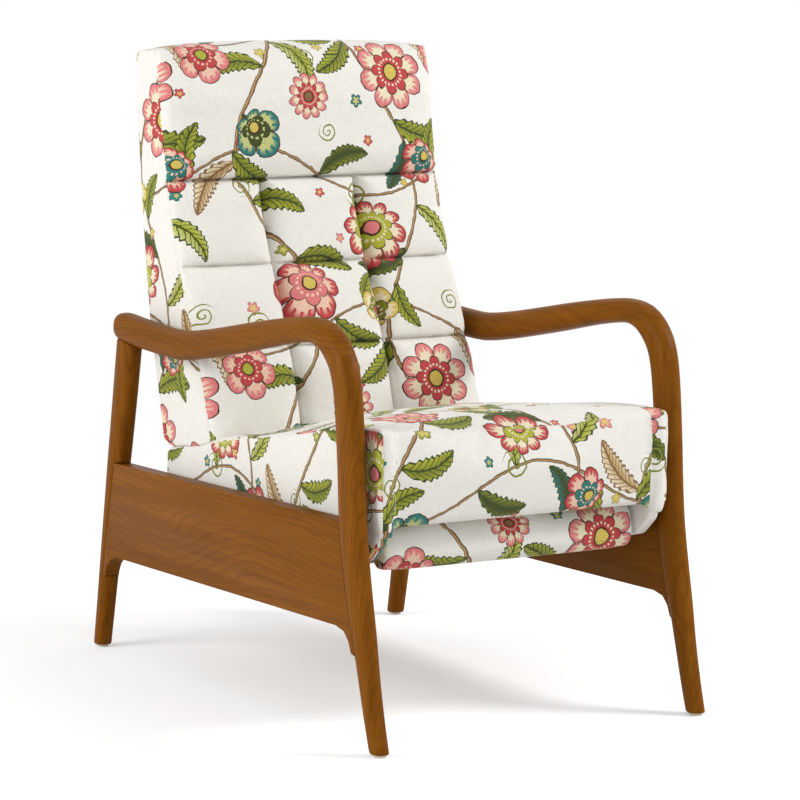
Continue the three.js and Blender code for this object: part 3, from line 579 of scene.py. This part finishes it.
# A tendril: a thin spiral of one and a half turns.
tendril_group, given, result, local, calc, painted = motif_group("printed_tendril", (), ("Line",))
place = parted(tendril_group, local)
distance = length_of(tendril_group, local)
turns = calc("MULTIPLY_ADD", calc("ARCTAN2", place[1], place[0]), -1 / (2 * math.pi), calc("MULTIPLY", distance, 2.0))
nearest = calc("ABSOLUTE", calc("SUBTRACT", calc("FRACT", calc("ADD", turns, 0.5)), 0.5))
line = calc("MINIMUM", calc("MULTIPLY_ADD", nearest, -1.0, 0.13), calc("MULTIPLY_ADD", distance, -1.0, 1.0))
tendril_group.links.new(painted(line, 0.0, given["Below"], given["Line"]), result["Color"])

# A vine: a wandering stem that runs up the cloth, a little thicker than its dark outline.
vine_group, given, result = new_group(
    "printed_vine", ("Color",), Color=("Stem", "Light", "Below"),
    Float=("Across", "Up", "Offset", "Swing", "Phase", "Width", "Across Repeat", "Up Repeat"))
calc, painted = partial(maths, vine_group), partial(over, vine_group)
pace = calc("DIVIDE", 2 * math.pi, given["Up Repeat"])
wave_at = calc("MULTIPLY_ADD", given["Up"], pace, given["Phase"])
stem_at = calc("MULTIPLY_ADD", calc("SINE", wave_at), given["Swing"], given["Offset"])
half_repeat = calc("MULTIPLY", given["Across Repeat"], 0.5)
gap = calc("WRAP", calc("SUBTRACT", given["Across"], stem_at), half_repeat, calc("MULTIPLY", half_repeat, -1.0))
slope = calc("MULTIPLY", calc("MULTIPLY", calc("COSINE", wave_at), pace), given["Swing"])
square = calc("SQRT", calc("MULTIPLY_ADD", slope, slope, 1.0))
off = calc("DIVIDE", calc("ABSOLUTE", gap), square)
depth = calc("SUBTRACT", given["Width"], off)
shown = painted(depth, 0.0, given["Below"], ink)
shown = painted(depth, 0.0008, shown, given["Stem"])
lit = calc("MULTIPLY", gap, -1.0)
shown = painted(calc("MINIMUM", lit, calc("SUBTRACT", depth, 0.0016)), 0.0, shown, given["Light"])
vine_group.links.new(shown, result["Color"])

# Sprigs: small five-petalled flowers and berries scattered between the stems.
sprig_group, given, result = new_group("printed_sprigs", ("Color",), Vector=("Cloth",), Color=("Below",))
calc, painted = partial(maths, sprig_group), partial(over, sprig_group)
cells = put(sprig_group, "ShaderNodeTexVoronoi", {"Vector": given["Cloth"], "Scale": 11.5, "Randomness": 0.75},
            voronoi_dimensions="2D").outputs
from_cell = vectors(sprig_group, "SUBTRACT", given["Cloth"], cells["Position"])
place = parted(sprig_group, from_cell)
chance = put(sprig_group, "ShaderNodeSeparateColor", {"Color": cells["Color"]}).outputs
distance = length_of(sprig_group, from_cell)
angle = calc("ARCTAN2", place[0], place[1])
petal = calc("ABSOLUTE", calc("COSINE", calc("MULTIPLY", angle, 2.5)))
size = calc("MULTIPLY_ADD", chance[1], 0.008, 0.007)
edge = calc("MULTIPLY", size, calc("MULTIPLY_ADD", petal, 0.45, 0.55))
depth = calc("MINIMUM", calc("SUBTRACT", edge, distance), calc("MULTIPLY", calc("SUBTRACT", chance[0], 0.45), 100.0))
tone = ramp(sprig_group, chance[2], [
    (0.0, colour(205, 82, 84)), (0.3, colour(52, 128, 124)), (0.5, colour(228, 138, 140)),
    (0.7, colour(212, 190, 96)), (0.85, colour(150, 158, 60))])
tone.node.color_ramp.interpolation = "CONSTANT"
shown = painted(depth, -0.0008, given["Below"], ink)
shown = painted(depth, 0.0, shown, tone)
shown = painted(depth, 0.0045, shown, colour(222, 204, 120))
sprig_group.links.new(shown, result["Color"])

# Weave: plain-woven threads, with thicker slubs here and there along both directions.
weave_group, given, result = new_group("linen_weave", ("Slub", "Height"), Vector=("Cloth",))
calc = partial(maths, weave_group)
thread_pitch = 0.0011
place = parted(weave_group, given["Cloth"])
warp = calc("SINE", calc("MULTIPLY", place[0], 2 * math.pi / thread_pitch))
weft = calc("SINE", calc("MULTIPLY", place[1], 2 * math.pi / thread_pitch))
threads = calc("MULTIPLY", warp, weft)
slub_noises = []
for scale in ((900, 60, 1), (60, 900, 1)):
    run = stretched(weave_group, given["Cloth"], scale)
    slub_noises.append(put(weave_group, "ShaderNodeTexNoise", {"Vector": run, "Scale": 1.0, "Detail": 2.0},
                           noise_dimensions="2D").outputs["Fac"])
slub = calc("MULTIPLY_ADD", calc("ADD", *slub_noises), 0.5, 0.0)
weave_group.links.new(slub, result["Slub"])
weave_group.links.new(calc("MULTIPLY_ADD", threads, 0.35, calc("MULTIPLY", slub, 1.6)), result["Height"])

linen_ground = colour(233, 231, 224)
coral, rose, blush = colour(196, 68, 72), colour(224, 126, 128), colour(240, 200, 178)
cream, mustard, lime = colour(238, 226, 196), colour(214, 190, 92), colour(176, 178, 58)
olive, moss, teal = colour(132, 138, 44), colour(64, 76, 32), colour(44, 122, 118)
pale_green, bark, straw = colour(196, 200, 132), colour(136, 102, 66), colour(196, 164, 112)

# Stems that run up the cloth and across it: offset, swing, phase and half width, in metres.
upright_vines = ((0.111, 0.06, 0.3, 0.0035), (0.351, 0.051, 2.7, 0.003))
level_vines = ((0.148, 0.039, 1, 0.0024), (0.414, 0.044, 3.6, 0.0026))
# Leaves: which stem, how far along it, side, length, width, bend, teeth and colours.
leaf_tones = {
    "lime": (lime, olive, moss), "olive": (olive, moss, moss), "pale": (pale_green, lime, moss),
    "teal": (teal, moss, moss), "straw": (cream, straw, bark)}
leaves = (
    ("up", 0, 0.026, 1, 0.105, 0.2, 0.13, 9, "lime"), ("up", 0, 0.087, -1, 0.09, 0.17, -0.12, 8, "olive"),
    ("up", 0, 0.174, 1, 0.115, 0.19, 0.15, 11, "pale"), ("up", 0, 0.235, -1, 0.1, 0.2, -0.16, 9, "lime"),
    ("up", 0, 0.314, 1, 0.08, 0.21, 0.1, 7, "teal"), ("up", 0, 0.392, -1, 0.12, 0.17, -0.13, 11, "straw"),
    ("up", 0, 0.462, 1, 0.1, 0.2, 0.15, 9, "lime"), ("up", 1, 0.017, -1, 0.1, 0.2, 0.14, 9, "olive"),
    ("up", 1, 0.078, 1, 0.085, 0.2, -0.14, 8, "lime"), ("up", 1, 0.174, -1, 0.11, 0.19, 0.12, 10, "lime"),
    ("up", 1, 0.331, 1, 0.115, 0.2, -0.13, 10, "lime"), ("up", 1, 0.366, -1, 0.09, 0.18, 0.14, 8, "teal"),
    ("up", 1, 0.479, 1, 0.1, 0.18, 0.12, 9, "pale"), ("level", 0, 0.026, 1, 0.075, 0.2, 0.13, 7, "olive"),
    ("level", 0, 0.189, -1, 0.1, 0.2, -0.15, 9, "lime"), ("level", 0, 0.257, 1, 0.07, 0.22, 0.12, 7, "lime"),
    ("level", 0, 0.429, -1, 0.085, 0.19, 0.12, 8, "straw"), ("level", 1, 0.043, -1, 0.09, 0.2, -0.13, 8, "lime"),
    ("level", 1, 0.214, 1, 0.1, 0.19, 0.14, 9, "olive"), ("level", 1, 0.283, -1, 0.08, 0.2, -0.12, 7, "pale"),
    ("level", 1, 0.446, 1, 0.09, 0.2, 0.15, 8, "lime"))
# Tendrils and blooms: place, turn and size, and for a bloom its petals, fan and four colours.
tendrils = (
    (0.043, 0.139, 0.4, 0.024), (0.206, 0.218, 2.2, 0.02), (0.283, 0.453, 4.0, 0.024),
    (0.429, 0.113, 1.1, 0.02), (0.06, 0.435, 5.2, 0.018), (0.231, 0.348, 3.1, 0.018))
blooms = (
    (0.159, 0.065, -0.5, 0.078, 7, 0.8, coral, blush, rose, mustard),
    (0.369, 0.248, 0.3, 0.064, 8, 0.0, rose, cream, coral, mustard),
    (0.086, 0.335, 0.7, 0.061, 5, 0.85, teal, pale_green, moss, mustard),
    (0.309, 0.51, -0.2, 0.074, 9, 0.6, coral, cream, lime, rose),
    (0.009, 0.209, 0.2, 0.053, 6, 0.3, rose, blush, coral, lime),
    (0.283, 0.122, 2.7, 0.045, 5, 0.7, mustard, cream, olive, coral),
    (0.429, 0.392, -0.9, 0.053, 7, 0.9, coral, blush, teal, mustard),
    (0.197, 0.287, 2.1, 0.038, 11, 0.0, rose, cream, coral, bark))

linen, tree = new_material("printed_linen")
cloth = put(tree, "ShaderNodeUVMap", uv_map="cloth").outputs[0]
shiver = put(tree, "ShaderNodeTexNoise", {"Vector": cloth, "Scale": 70.0, "Detail": 1.0}, noise_dimensions="2D")
shaky = vectors(tree, "SUBTRACT", shiver.outputs["Color"], (0.5, 0.5, 0.5))
drawn = vectors(tree, "MULTIPLY_ADD", shaky, (0.004, 0.004, 0), cloth)
place = parted(tree, drawn)
print_colour = linen_ground
stems = [("level", stem, 1, 0) for stem in level_vines] + [("up", stem, 0, 1) for stem in upright_vines]
for kind, (offset, swing, phase, width), across_axis, up_axis in stems:
    print_colour = place_group(tree, vine_group, {
        "Across": place[across_axis], "Up": place[up_axis], "Offset": offset, "Swing": swing,
        "Phase": phase, "Width": width, "Across Repeat": repeat_size[across_axis], "Up Repeat": repeat_size[up_axis],
        "Stem": bark, "Light": straw, "Below": print_colour})[0]
print_colour = place_group(tree, sprig_group, {"Cloth": drawn, "Below": print_colour})[0]
for kind, stem, way_along, hand, size, width, bend, teeth, tones in leaves:
    up_axis = 1 if kind == "up" else 0
    offset, swing, phase, _ = (upright_vines if kind == "up" else level_vines)[stem]
    pace = 2 * math.pi / repeat_size[up_axis]
    beside = offset + swing * math.sin(pace * way_along + phase)
    lean = math.atan(swing * pace * math.cos(pace * way_along + phase))
    centre = (beside, way_along, 0) if kind == "up" else (way_along, beside, 0)
    turn = lean + hand * 0.85 if kind == "up" else math.radians(90) - lean + hand * 0.85
    light, dark, line = leaf_tones[tones]
    print_colour = place_group(tree, leaf_group, {
        "Cloth": drawn, "Centre": centre, "Turn": turn, "Size": size, "Bend": bend, "Width": width, "Teeth": teeth,
        "Light": light, "Dark": dark, "Line": line, "Below": print_colour})[0]
for across, up, turn, size in tendrils:
    print_colour = place_group(tree, tendril_group, {
        "Cloth": drawn, "Centre": (across, up, 0), "Turn": turn, "Size": size, "Line": olive,
        "Below": print_colour})[0]
for across, up, turn, size, petals, fan, margin, field, inner, heart in blooms:
    print_colour = place_group(tree, bloom_group, {
        "Cloth": drawn, "Centre": (across, up, 0), "Turn": turn, "Size": size, "Petals": petals, "Fan": fan,
        "Margin": margin, "Field": field, "Inner": inner, "Heart": heart, "Below": print_colour})[0]

# The motifs are drawn in short slanted strokes, which leave the plain ground alone.
stroke_pitch, stroke_slant = 0.0034, 0.7
slanted = maths(tree, "MULTIPLY_ADD", place[0], stroke_slant, place[1])
swayed = maths(tree, "MULTIPLY_ADD", shiver.outputs["Fac"], 0.006, slanted)
strokes = maths(tree, "MULTIPLY_ADD", maths(tree, "SINE", maths(
    tree, "MULTIPLY", swayed, 2 * math.pi / stroke_pitch)), 0.5, 0.5)
stroke_tone = ramp(tree, strokes, [(0.15, (0.72, 0.72, 0.7, 1)), (0.7, (1.1, 1.1, 1.08, 1))])
saturation = put(tree, "ShaderNodeSeparateColor", {"Color": print_colour}, mode="HSV").outputs[1]
printed = put(tree, "ShaderNodeMapRange", {"Value": saturation, "From Min": 0.1, "From Max": 0.3}, clamp=True)
print_colour = mixed(tree, printed.outputs[0], print_colour, stroke_tone, "MULTIPLY")
weave = place_group(tree, weave_group, {"Cloth": cloth})
thread_tone = ramp(tree, weave["Slub"], [(0.3, (0.9, 0.895, 0.885, 1)), (0.62, (1.03, 1.03, 1.03, 1))])
woven = mixed(tree, 1.0, print_colour, thread_tone, "MULTIPLY")
surfaced(tree, woven, 0.86, weave["Height"], 0.3, 0.0004, Sheen_Weight=0.15, Sheen_Roughness=0.5,
         Specular_IOR_Level=0.25)


# The seat: a foam cushion over springs between two padded cheeks, under one front band of linen that
# runs from side to side. The cloth is inflated over all three, then cut apart where they meet.
def positions(piece):
    return read(piece.data.vertices, "co")


def outward(piece):
    return read(piece.data.vertices, "normal")


def reshape(piece, places):
    piece.data.vertices.foreach_set("co", places.astype(np.float32).ravel())
    piece.data.update()


cloth_frames = 20
push = 4.0


def inflated(piece, held, most):
    """Blows a piece up as cloth where it isn't held, and moves no point by more than the most."""
    rest = positions(piece)
    pinned = piece.vertex_groups.new(name="held")
    pinned.add([int(i) for i in np.flatnonzero(held)], 1.0, "REPLACE")
    cloth_modifier = piece.modifiers.new("cloth", "CLOTH")
    settings = cloth_modifier.settings
    settings.vertex_group_mass = "held"
    settings.use_pressure = True
    settings.uniform_pressure_force = push
    settings.effector_weights.gravity = 0
    settings.quality = 4
    cloth_modifier.collision_settings.use_collision = False
    for step in range(1, cloth_frames + 1):
        bpy.context.scene.frame_set(step)
    shape = piece.evaluated_get(bpy.context.evaluated_depsgraph_get())
    blown = positions(shape)
    piece.modifiers.remove(cloth_modifier)
    piece.vertex_groups.clear()
    bpy.context.scene.frame_set(1)
    moved = blown - rest
    length = np.linalg.norm(moved, axis=1, keepdims=True) + 1e-9
    reshape(piece, rest + moved / length * most * np.tanh(length / most))


def nearest_on(profile, points):
    """For points of [y, z], how far along an open profile the nearest place is, and how far off it."""
    profile = np.array(profile)
    starts, ends = profile[:-1], profile[1:]
    runs = ends - starts
    lengths = np.linalg.norm(runs, axis=1)
    before = np.concatenate([[0], np.cumsum(lengths)[:-1]])
    share = ((points[:, None] - starts) * runs).sum(2) / lengths ** 2
    share = np.clip(share, 0, 1)
    gaps = np.linalg.norm(points[:, None] - (starts + runs * share[..., None]), axis=2)
    best = gaps.argmin(1)
    rows = np.arange(len(points))
    return before[best] + share[rows, best] * lengths[best], gaps[rows, best]


def lay_cloth(piece, flat_places, chosen=None):
    """Writes the piece's UV map, from each vertex's place on the flat cloth, in metres. With chosen,
    only the faces whose centres it picks are laid, and the rest stay as they are."""
    layers = piece.data.uv_layers
    layer = layers.get("cloth") or layers.new(name="cloth")
    laid = flat_places[read(piece.data.loops, "vertex_index", 1)[:, 0].astype(int)]
    if chosen is not None:
        faces = piece.data.polygons
        picked = np.repeat(chosen(read(faces, "center")), read(faces, "loop_total", 1)[:, 0].astype(int))
        laid = np.where(picked[:, None], laid, read(layer.data, "uv", 2))
    layer.data.foreach_set("uv", laid.astype(np.float32).ravel())


def wrapped_cloth(piece, profile, shift):
    """Cloth laid over a piece along a profile of its side view: across is X, up is along the profile."""
    places = positions(piece)
    run, _ = nearest_on(profile, places[:, 1:])
    lay_cloth(piece, np.column_stack([places[:, 0] + shift[0], shift[1] - run]))


def side_cloth(piece, face_at, shift, chosen=None):
    """Cloth laid on a piece's outer side, and folded over its edges from there."""
    places = positions(piece)
    normals = outward(piece)
    depth = np.abs(face_at - places[:, 0])
    out = normals[:, 1:] / (np.linalg.norm(normals[:, 1:], axis=1, keepdims=True) + 1e-6)
    edge = np.clip(np.linalg.norm(normals[:, 1:], axis=1, keepdims=True), 0, 1)
    hand = -1 if face_at < 0 else 1
    flat = places[:, 1:] + out * edge * depth[:, None]
    lay_cloth(piece, np.column_stack([flat[:, 0] * hand + shift[0], flat[:, 1] + shift[1]]), chosen)


def upholstered(piece, body, nodes):
    piece.data.shade_smooth()
    finished(piece, body, nodes, linen)


def gentle(value, low, high):
    share = np.clip((value - low) / (high - low), 0, 1)
    return share * share * (3 - 2 * share)


def groove(off, depth, width):
    """A stitched groove's depth, at some way off its seam."""
    return depth * np.exp(-(off / width) ** 2)


def finer(piece, chosen):
    """Halves the mesh where the face centres are chosen, so that a stitched groove keeps its edge."""
    taken_up(piece)
    bpy.ops.object.mode_set(mode="EDIT")
    bpy.ops.mesh.select_mode(type="FACE")
    bpy.ops.mesh.select_all(action="DESELECT")
    bpy.ops.object.mode_set(mode="OBJECT")
    faces = piece.data.polygons
    faces.foreach_set("select", chosen(read(faces, "center"), read(faces, "normal")))
    bpy.ops.object.mode_set(mode="EDIT")
    bpy.ops.mesh.subdivide(number_cuts=1, smoothness=0)
    bpy.ops.mesh.select_mode(type="VERT")
    bpy.ops.object.mode_set(mode="OBJECT")


def drawn_to(piece, old, new, reach):
    """Moves what lies near an old side-view profile to the new one, less the further off it lies."""
    places = positions(piece)
    run, off = nearest_on(old, places[:, 1:])
    old, new = np.array(old), np.array(new)
    runs = np.concatenate([[0], np.cumsum(np.linalg.norm(np.diff(old, axis=0), axis=1))])
    share = 1 - gentle(off, reach * 0.5, reach)
    for axis in (0, 1):
        places[:, axis + 1] += np.interp(run, runs, new[:, axis] - old[:, axis]) * share
    reshape(piece, places)


seat_low, seat_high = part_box("seat_cushion")
cheek_inside, cheek_outside = (corner.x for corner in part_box("seat_cheek_right"))
seat_profile = [
    (seat_high.y, seat_low.z + 0.05), (seat_high.y, 0.372), (0.13, 0.395), (0.045, 0.418), (-0.055, 0.445),
    (-0.16, 0.47), (-0.245, 0.485), (-0.315, 0.4945), (-0.36, 0.4965), (-0.389, 0.4945), (-0.3985, 0.4835),
    (-0.4025, 0.44), (-0.403, 0.395), (-0.3985, 0.348), (-0.36, seat_low.z)]
seat = joined([node_copy(node, f"{node}_linen") for node in ("seat_cushion", "seat_cheek_left", "seat_cheek_right")])
softened(seat, 0.0055, 3)
normals = outward(seat)
reshape(seat, positions(seat) - normals * 0.003)
inflated(seat, (normals[:, 2] < -0.4) | (np.abs(normals[:, 0]) > 0.8), 0.011)

# The crest is level from side to side with a slight crown, and turns sharply into the band, which
# is nearly as wide as the space between the front legs.
crest_height, crest_crown, crest_reach = 0.4925, 0.0015, 0.255
bin_width, bin_count = 0.01, 26
places = positions(seat)
aside = np.abs(places[:, 0])
on_crest = (places[:, 1] > -0.37) & (places[:, 1] < -0.3) & (places[:, 2] > 0.46) & (aside < 0.26)
bins = (aside[on_crest] / bin_width).astype(int)
tops = np.array([places[on_crest][bins == i, 2].max() for i in range(bin_count)])
crown = np.polyfit((np.arange(bin_count) + 0.5) * bin_width, tops, 4)
across = np.minimum(aside, crest_reach)
lift = crest_height + crest_crown * (1 - (across / crest_reach) ** 2) - np.polyval(crown, across)
lift -= 0.003 * gentle(aside, 0.24, 0.262)
lift *= gentle(places[:, 2], 0.4, 0.47) * (1 - gentle(places[:, 1], -0.3, -0.12))
places[:, 2] += lift
front = gentle(-places[:, 1], 0.28, 0.36) * gentle(places[:, 2], 0.33, 0.37)
rear_top = gentle(places[:, 1], 0.13, 0.2) * gentle(places[:, 2], 0.33, 0.355)
places[:, 2] += 0.004 * gentle(aside, 0.238, 0.26) * rear_top
places[:, 0] += np.sign(places[:, 0]) * 0.0055 * gentle(aside, 0.2, 0.262) * front
reshape(seat, places)
soft_edge = [(-0.28, 0.493), (-0.352, 0.494), (-0.377, 0.488), (-0.391, 0.471), (-0.4, 0.43), (-0.401, 0.39),
             (-0.396, 0.352)]
sharp_edge = [(-0.28, 0.493), (-0.362, 0.494), (-0.389, 0.491), (-0.3985, 0.48), (-0.403, 0.43), (-0.403, 0.39),
              (-0.4, 0.341)]
drawn_to(seat, soft_edge, sharp_edge, 0.03)
corner = 0.014
places = positions(seat)
beyond = np.abs(places[:, 0]) - (0.2745 - corner), places[:, 2] - (crest_height - 0.003 - corner)
outside_corner = np.hypot(*beyond)
rounded = (beyond[0] > 0) & (beyond[1] > 0) & (outside_corner > corner) & (places[:, 1] < -0.2)
pull = np.where(rounded, corner / np.maximum(outside_corner, corner), 1)
places[:, 0] -= np.where(rounded, np.sign(places[:, 0]) * beyond[0] * (1 - pull), 0)
places[:, 2] -= np.where(rounded, beyond[1] * (1 - pull), 0)
reshape(seat, places)
applied(seat, "SUBSURF", levels=1, render_levels=1)

# The band's two upright seams, which run on over the crest and along the cheeks' tops.
seam_aside = 0.2645
finer(seat, lambda centres, facing: (np.abs(np.abs(centres[:, 0]) - seam_aside) < 0.0035) & (
    (facing[:, 1] < -0.3) | (facing[:, 2] > 0.3)))
places = positions(seat)
normals = outward(seat)
stitched = groove(np.abs(places[:, 0]) - seam_aside, 0.0012, 0.0014) * gentle(
    -normals[:, 1] + np.maximum(normals[:, 2], 0), 0.2, 0.6)
reshape(seat, places - normals * stitched[:, None])
sewn_gap = 0.00005
for node, low_cut, high_cut, cloth_shift in (("seat_cheek_left", None, -cheek_inside, (0.31, 0.62)),
                                             ("seat_cheek_right", cheek_inside, None, (0.279, 0.315)),
                                             ("seat_cushion", -cheek_inside, cheek_inside, (0.31, 0.62))):
    piece = twin(seat, f"{node}_linen")
    if low_cut is not None:
        cut_away(piece, (low_cut + sewn_gap, 0, 0), (-1, 0, 0))
    if high_cut is not None:
        cut_away(piece, (high_cut - sewn_gap, 0, 0), (1, 0, 0))
    wrapped_cloth(piece, seat_profile, cloth_shift)
    hand = {"seat_cheek_left": -1, "seat_cheek_right": 1}.get(node)
    across, along, high = positions(piece).T
    if hand:
        lay_cloth(piece, np.column_stack([along * hand, high - 0.25]),
                  lambda centres: np.abs(np.abs(centres[:, 0]) - cheek_inside) < 0.0005)
        side_cloth(piece, hand * cheek_outside, (0.12 + 0.2 * hand, 0.09),
                   lambda centres: np.abs(centres[:, 0]) > seam_aside)
    else:
        lay_cloth(piece, np.column_stack([-across, high]), lambda centres: centres[:, 1] > seat_high.y - 0.006)
        lay_cloth(piece, np.column_stack([across, -along]), lambda centres: centres[:, 2] < seat_low.z + 0.004)
    upholstered(piece, "seat", [node])
    smooth_shaded(piece, 60)
bpy.data.objects.remove(seat)


# The footrest: a padded board that folds down under the front band, in the same linen.
pad_low, pad_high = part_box("footrest_pad")
pad_profile = [
    (pad_high.y, pad_high.z), (-0.354, 0.34), (-0.366, 0.325), (-0.368, 0.287), (-0.359, 0.2595), (-0.343, 0.253),
    (-0.32, 0.265), (pad_high.y, 0.285)]
pad = node_copy("footrest_pad", "footrest_pad_linen")
softened(pad, 0.006, 3)
places = positions(pad)
normals = outward(pad)
reshape(pad, places - normals * 0.002)
inflated(pad, (normals[:, 1] > 0.6) | (np.abs(normals[:, 0]) > 0.8), 0.006)
drawn_to(pad, [(-0.366, 0.338), (-0.36, 0.297), (-0.3475, 0.27), (-0.3385, 0.2645)],
         [(-0.349, 0.338), (-0.3665, 0.287), (-0.359, 0.2595), (-0.343, 0.253)], 0.04)
applied(pad, "SUBSURF", levels=1, render_levels=1)
wrapped_cloth(pad, pad_profile, (0.2, 0.35))
upholstered(pad, "footrest", ["footrest_pad"])


# The back: a cushion sewn into nine channels, a headrest across its top and a padded side on either
# hand, which meet the front at a sewn line. One cloth is shaped and inflated over them all, then
# cut apart where they meet.
def filled_out(gap, reach):
    """How full a cushion is at some gap from its seam: none at the seam, and all of it from the reach on."""
    return np.sqrt(1 - (1 - np.clip(gap / reach, 0, 1)) ** 2)


def drawn_in(above, depth, reach_below, reach_above):
    """How far a seam draws the cloth in at some height above it, or below."""
    return depth * (1 - filled_out(np.abs(above), np.where(above > 0, reach_above, reach_below)))


def back_shape(column, high):
    """A value between the back's foot and its top, from pairs of height and value."""
    heights, values = np.array(column).T
    return np.interp(high, heights, values)


back_low, back_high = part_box("back_cushion")
head_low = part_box("headrest_cushion")[0]
column_seams = (-0.092, 0.092)
row_seams = (0.5455, 0.678)
head_seam = (back_high.z + head_low.z) / 2
side_seam, front_edge = 0.2645, 0.267
side_line = [(0.39, 0.142), (0.422, 0.15), (0.52, 0.188), (0.6335, 0.242), (0.691, 0.264), (0.76, 0.288),
             (0.822, 0.301), (0.873, 0.319), (0.92, 0.329), (1.03, 0.343)]
plumpness = [(0.39, 0.024), (0.43, 0.03), (0.5, 0.036), (0.61, 0.042), (0.678, 0.037), (0.75, 0.031),
             (0.815, 0.03), (0.86, 0.038), (0.95, 0.043), (1.0, 0.035), (1.045, 0.02)]
back = joined([node_copy(node, f"{node}_linen")
               for node in ("back_cushion", "headrest_cushion", "back_boxing_left", "back_boxing_right")])
softened(back, 0.0056, 2)


def from_seams(places):
    """How far each place is from the nearest column seam, and above the nearest row seam."""
    to_column = np.min([np.abs(places[:, 0] - at) for at in column_seams], axis=0)
    to_column = np.where(places[:, 2] > head_seam, 1.0, to_column)
    above_row = np.array([places[:, 2] - at for at in row_seams])
    return to_column, np.take_along_axis(above_row, np.abs(above_row).argmin(0)[None], 0)[0]


bpy.context.view_layer.update()
places = positions(back)
aside, high = np.abs(places[:, 0]), places[:, 2]
faced = np.clip(places[:, 0], -0.2665, 0.2665), np.clip(high, back_low.z + 0.012, 1.036)
found = [back.ray_cast((x, -1, z), (0, 1, 0)) for x, z in zip(*faced)]
front_now = np.array([place.y if hit else y for (hit, place, *_), y in zip(found, places[:, 1])])
to_column, above_row = from_seams(places)
above_head = high - head_seam
fold = np.max([drawn_in(to_column, 0.033, 0.05, 0.05), drawn_in(above_row, 0.017, 0.05, 0.028),
               drawn_in(above_head, 0.019, 0.045, 0.032)], axis=0)
proud = back_shape(plumpness, high) + 0.009 * (1 - (aside / 0.269) ** 2)
proud *= filled_out(front_edge - aside, 0.034) * filled_out(high - back_low.z, 0.03)
front_then = back_shape(side_line, high) - proud + fold * filled_out(front_edge - aside, 0.012)
share = 1 - gentle(places[:, 1] - front_now, 0.03, 0.075)
places[:, 1] += (front_then - front_now) * share
places[:, 2] -= 0.0065 * gentle(high, 0.99, 1.04) * (1 - gentle(aside, 0.25, 0.268))
places[:, 2] -= 0.004 * gentle(aside, 0.25, 0.262) * (1 - gentle(high, 0.4, 0.44))
reshape(back, places)
normals = outward(back)
facing = normals[:, 1] < 0.2
seamed = (to_column < 0.005) | (np.abs(above_row) < 0.004) | (np.abs(above_head) < 0.004)
held = (seamed & facing) | (normals[:, 1] > 0.3) | (np.abs(normals[:, 0]) > 0.75) | (aside > 0.262)
inflated(back, held | (normals[:, 2] < -0.8), 0.006)
applied(back, "SUBSURF", levels=1, render_levels=1)


# The stitches draw a narrow groove into the front along every seam, deepest under the headrest.
def near_seam(centres, facing):
    to_column, above_row = from_seams(centres)
    to_side = np.abs(np.abs(centres[:, 0]) - side_seam)
    near = np.minimum(np.minimum(to_column, np.abs(above_row)), np.abs(centres[:, 2] - head_seam)) < 0.006
    return (near & (facing[:, 1] < -0.2)) | ((to_side < 0.004) & (facing[:, 1] < 0.2))


finer(back, near_seam)
places = positions(back)
normals = outward(back)
to_column, above_row = from_seams(places)
stitched = np.max([groove(to_column, 0.009, 0.003), groove(above_row, 0.008, 0.0027),
                   groove(places[:, 2] - head_seam, 0.012, 0.003)], axis=0)
places[:, 1] += stitched * gentle(-normals[:, 1], 0.1, 0.5) * (1 - gentle(np.abs(places[:, 0]), 0.25, 0.262))
edge_stitch = groove(np.abs(places[:, 0]) - side_seam, 0.0016, 0.0014) * gentle(-normals[:, 1], 0.0, 0.3)
places -= normals * edge_stitch[:, None]
reshape(back, places)
back_profile = [(0.3, back_low.z)] + [(back_shape(side_line, z) - back_shape(plumpness, z), z)
                                      for z in np.linspace(0.4, 1.02, 12)] + [(0.345, 1.043), (0.403, 1.036)]
wrapped_cloth(back, back_profile, (0.2, 1.05))
boxing_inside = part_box("back_boxing_right")[0].x
off_both_sides = [((-boxing_inside, 0, 0), (-1, 0, 0)), ((boxing_inside, 0, 0), (1, 0, 0))]
cuts = {
    "back_boxing_left": [((-boxing_inside + sewn_gap, 0, 0), (1, 0, 0))],
    "back_boxing_right": [((boxing_inside - sewn_gap, 0, 0), (-1, 0, 0))],
    "back_cushion": off_both_sides + [((0, 0, head_seam - sewn_gap), (0, 0, 1))],
    "headrest_cushion": off_both_sides + [((0, 0, head_seam + sewn_gap), (0, 0, -1))],
}
for node, planes in cuts.items():
    piece = twin(back, f"{node}_linen")
    for at, normal in planes:
        cut_away(piece, at, normal)
    if "boxing" in node:
        hand = -1 if "left" in node else 1
        low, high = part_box(node)
        side_cloth(piece, low.x if hand < 0 else high.x, (0.3 + 0.1 * hand, 0.41),
                   lambda centres: np.abs(centres[:, 0]) > side_seam)
    upholstered(piece, "back", [node])
    smooth_shaded(piece, 60)
bpy.data.objects.remove(back)

outside_back = node_copy("back_outer_panel", "back_outer_panel_linen")
applied(outside_back, "BEVEL", width=0.0015, segments=2, limit_method="ANGLE", angle_limit=math.radians(40))
places = positions(outside_back)
lay_cloth(outside_back, np.column_stack([0.2 - places[:, 0], places[:, 2] + 0.1]))
upholstered(outside_back, "back", ["back_outer_panel"])
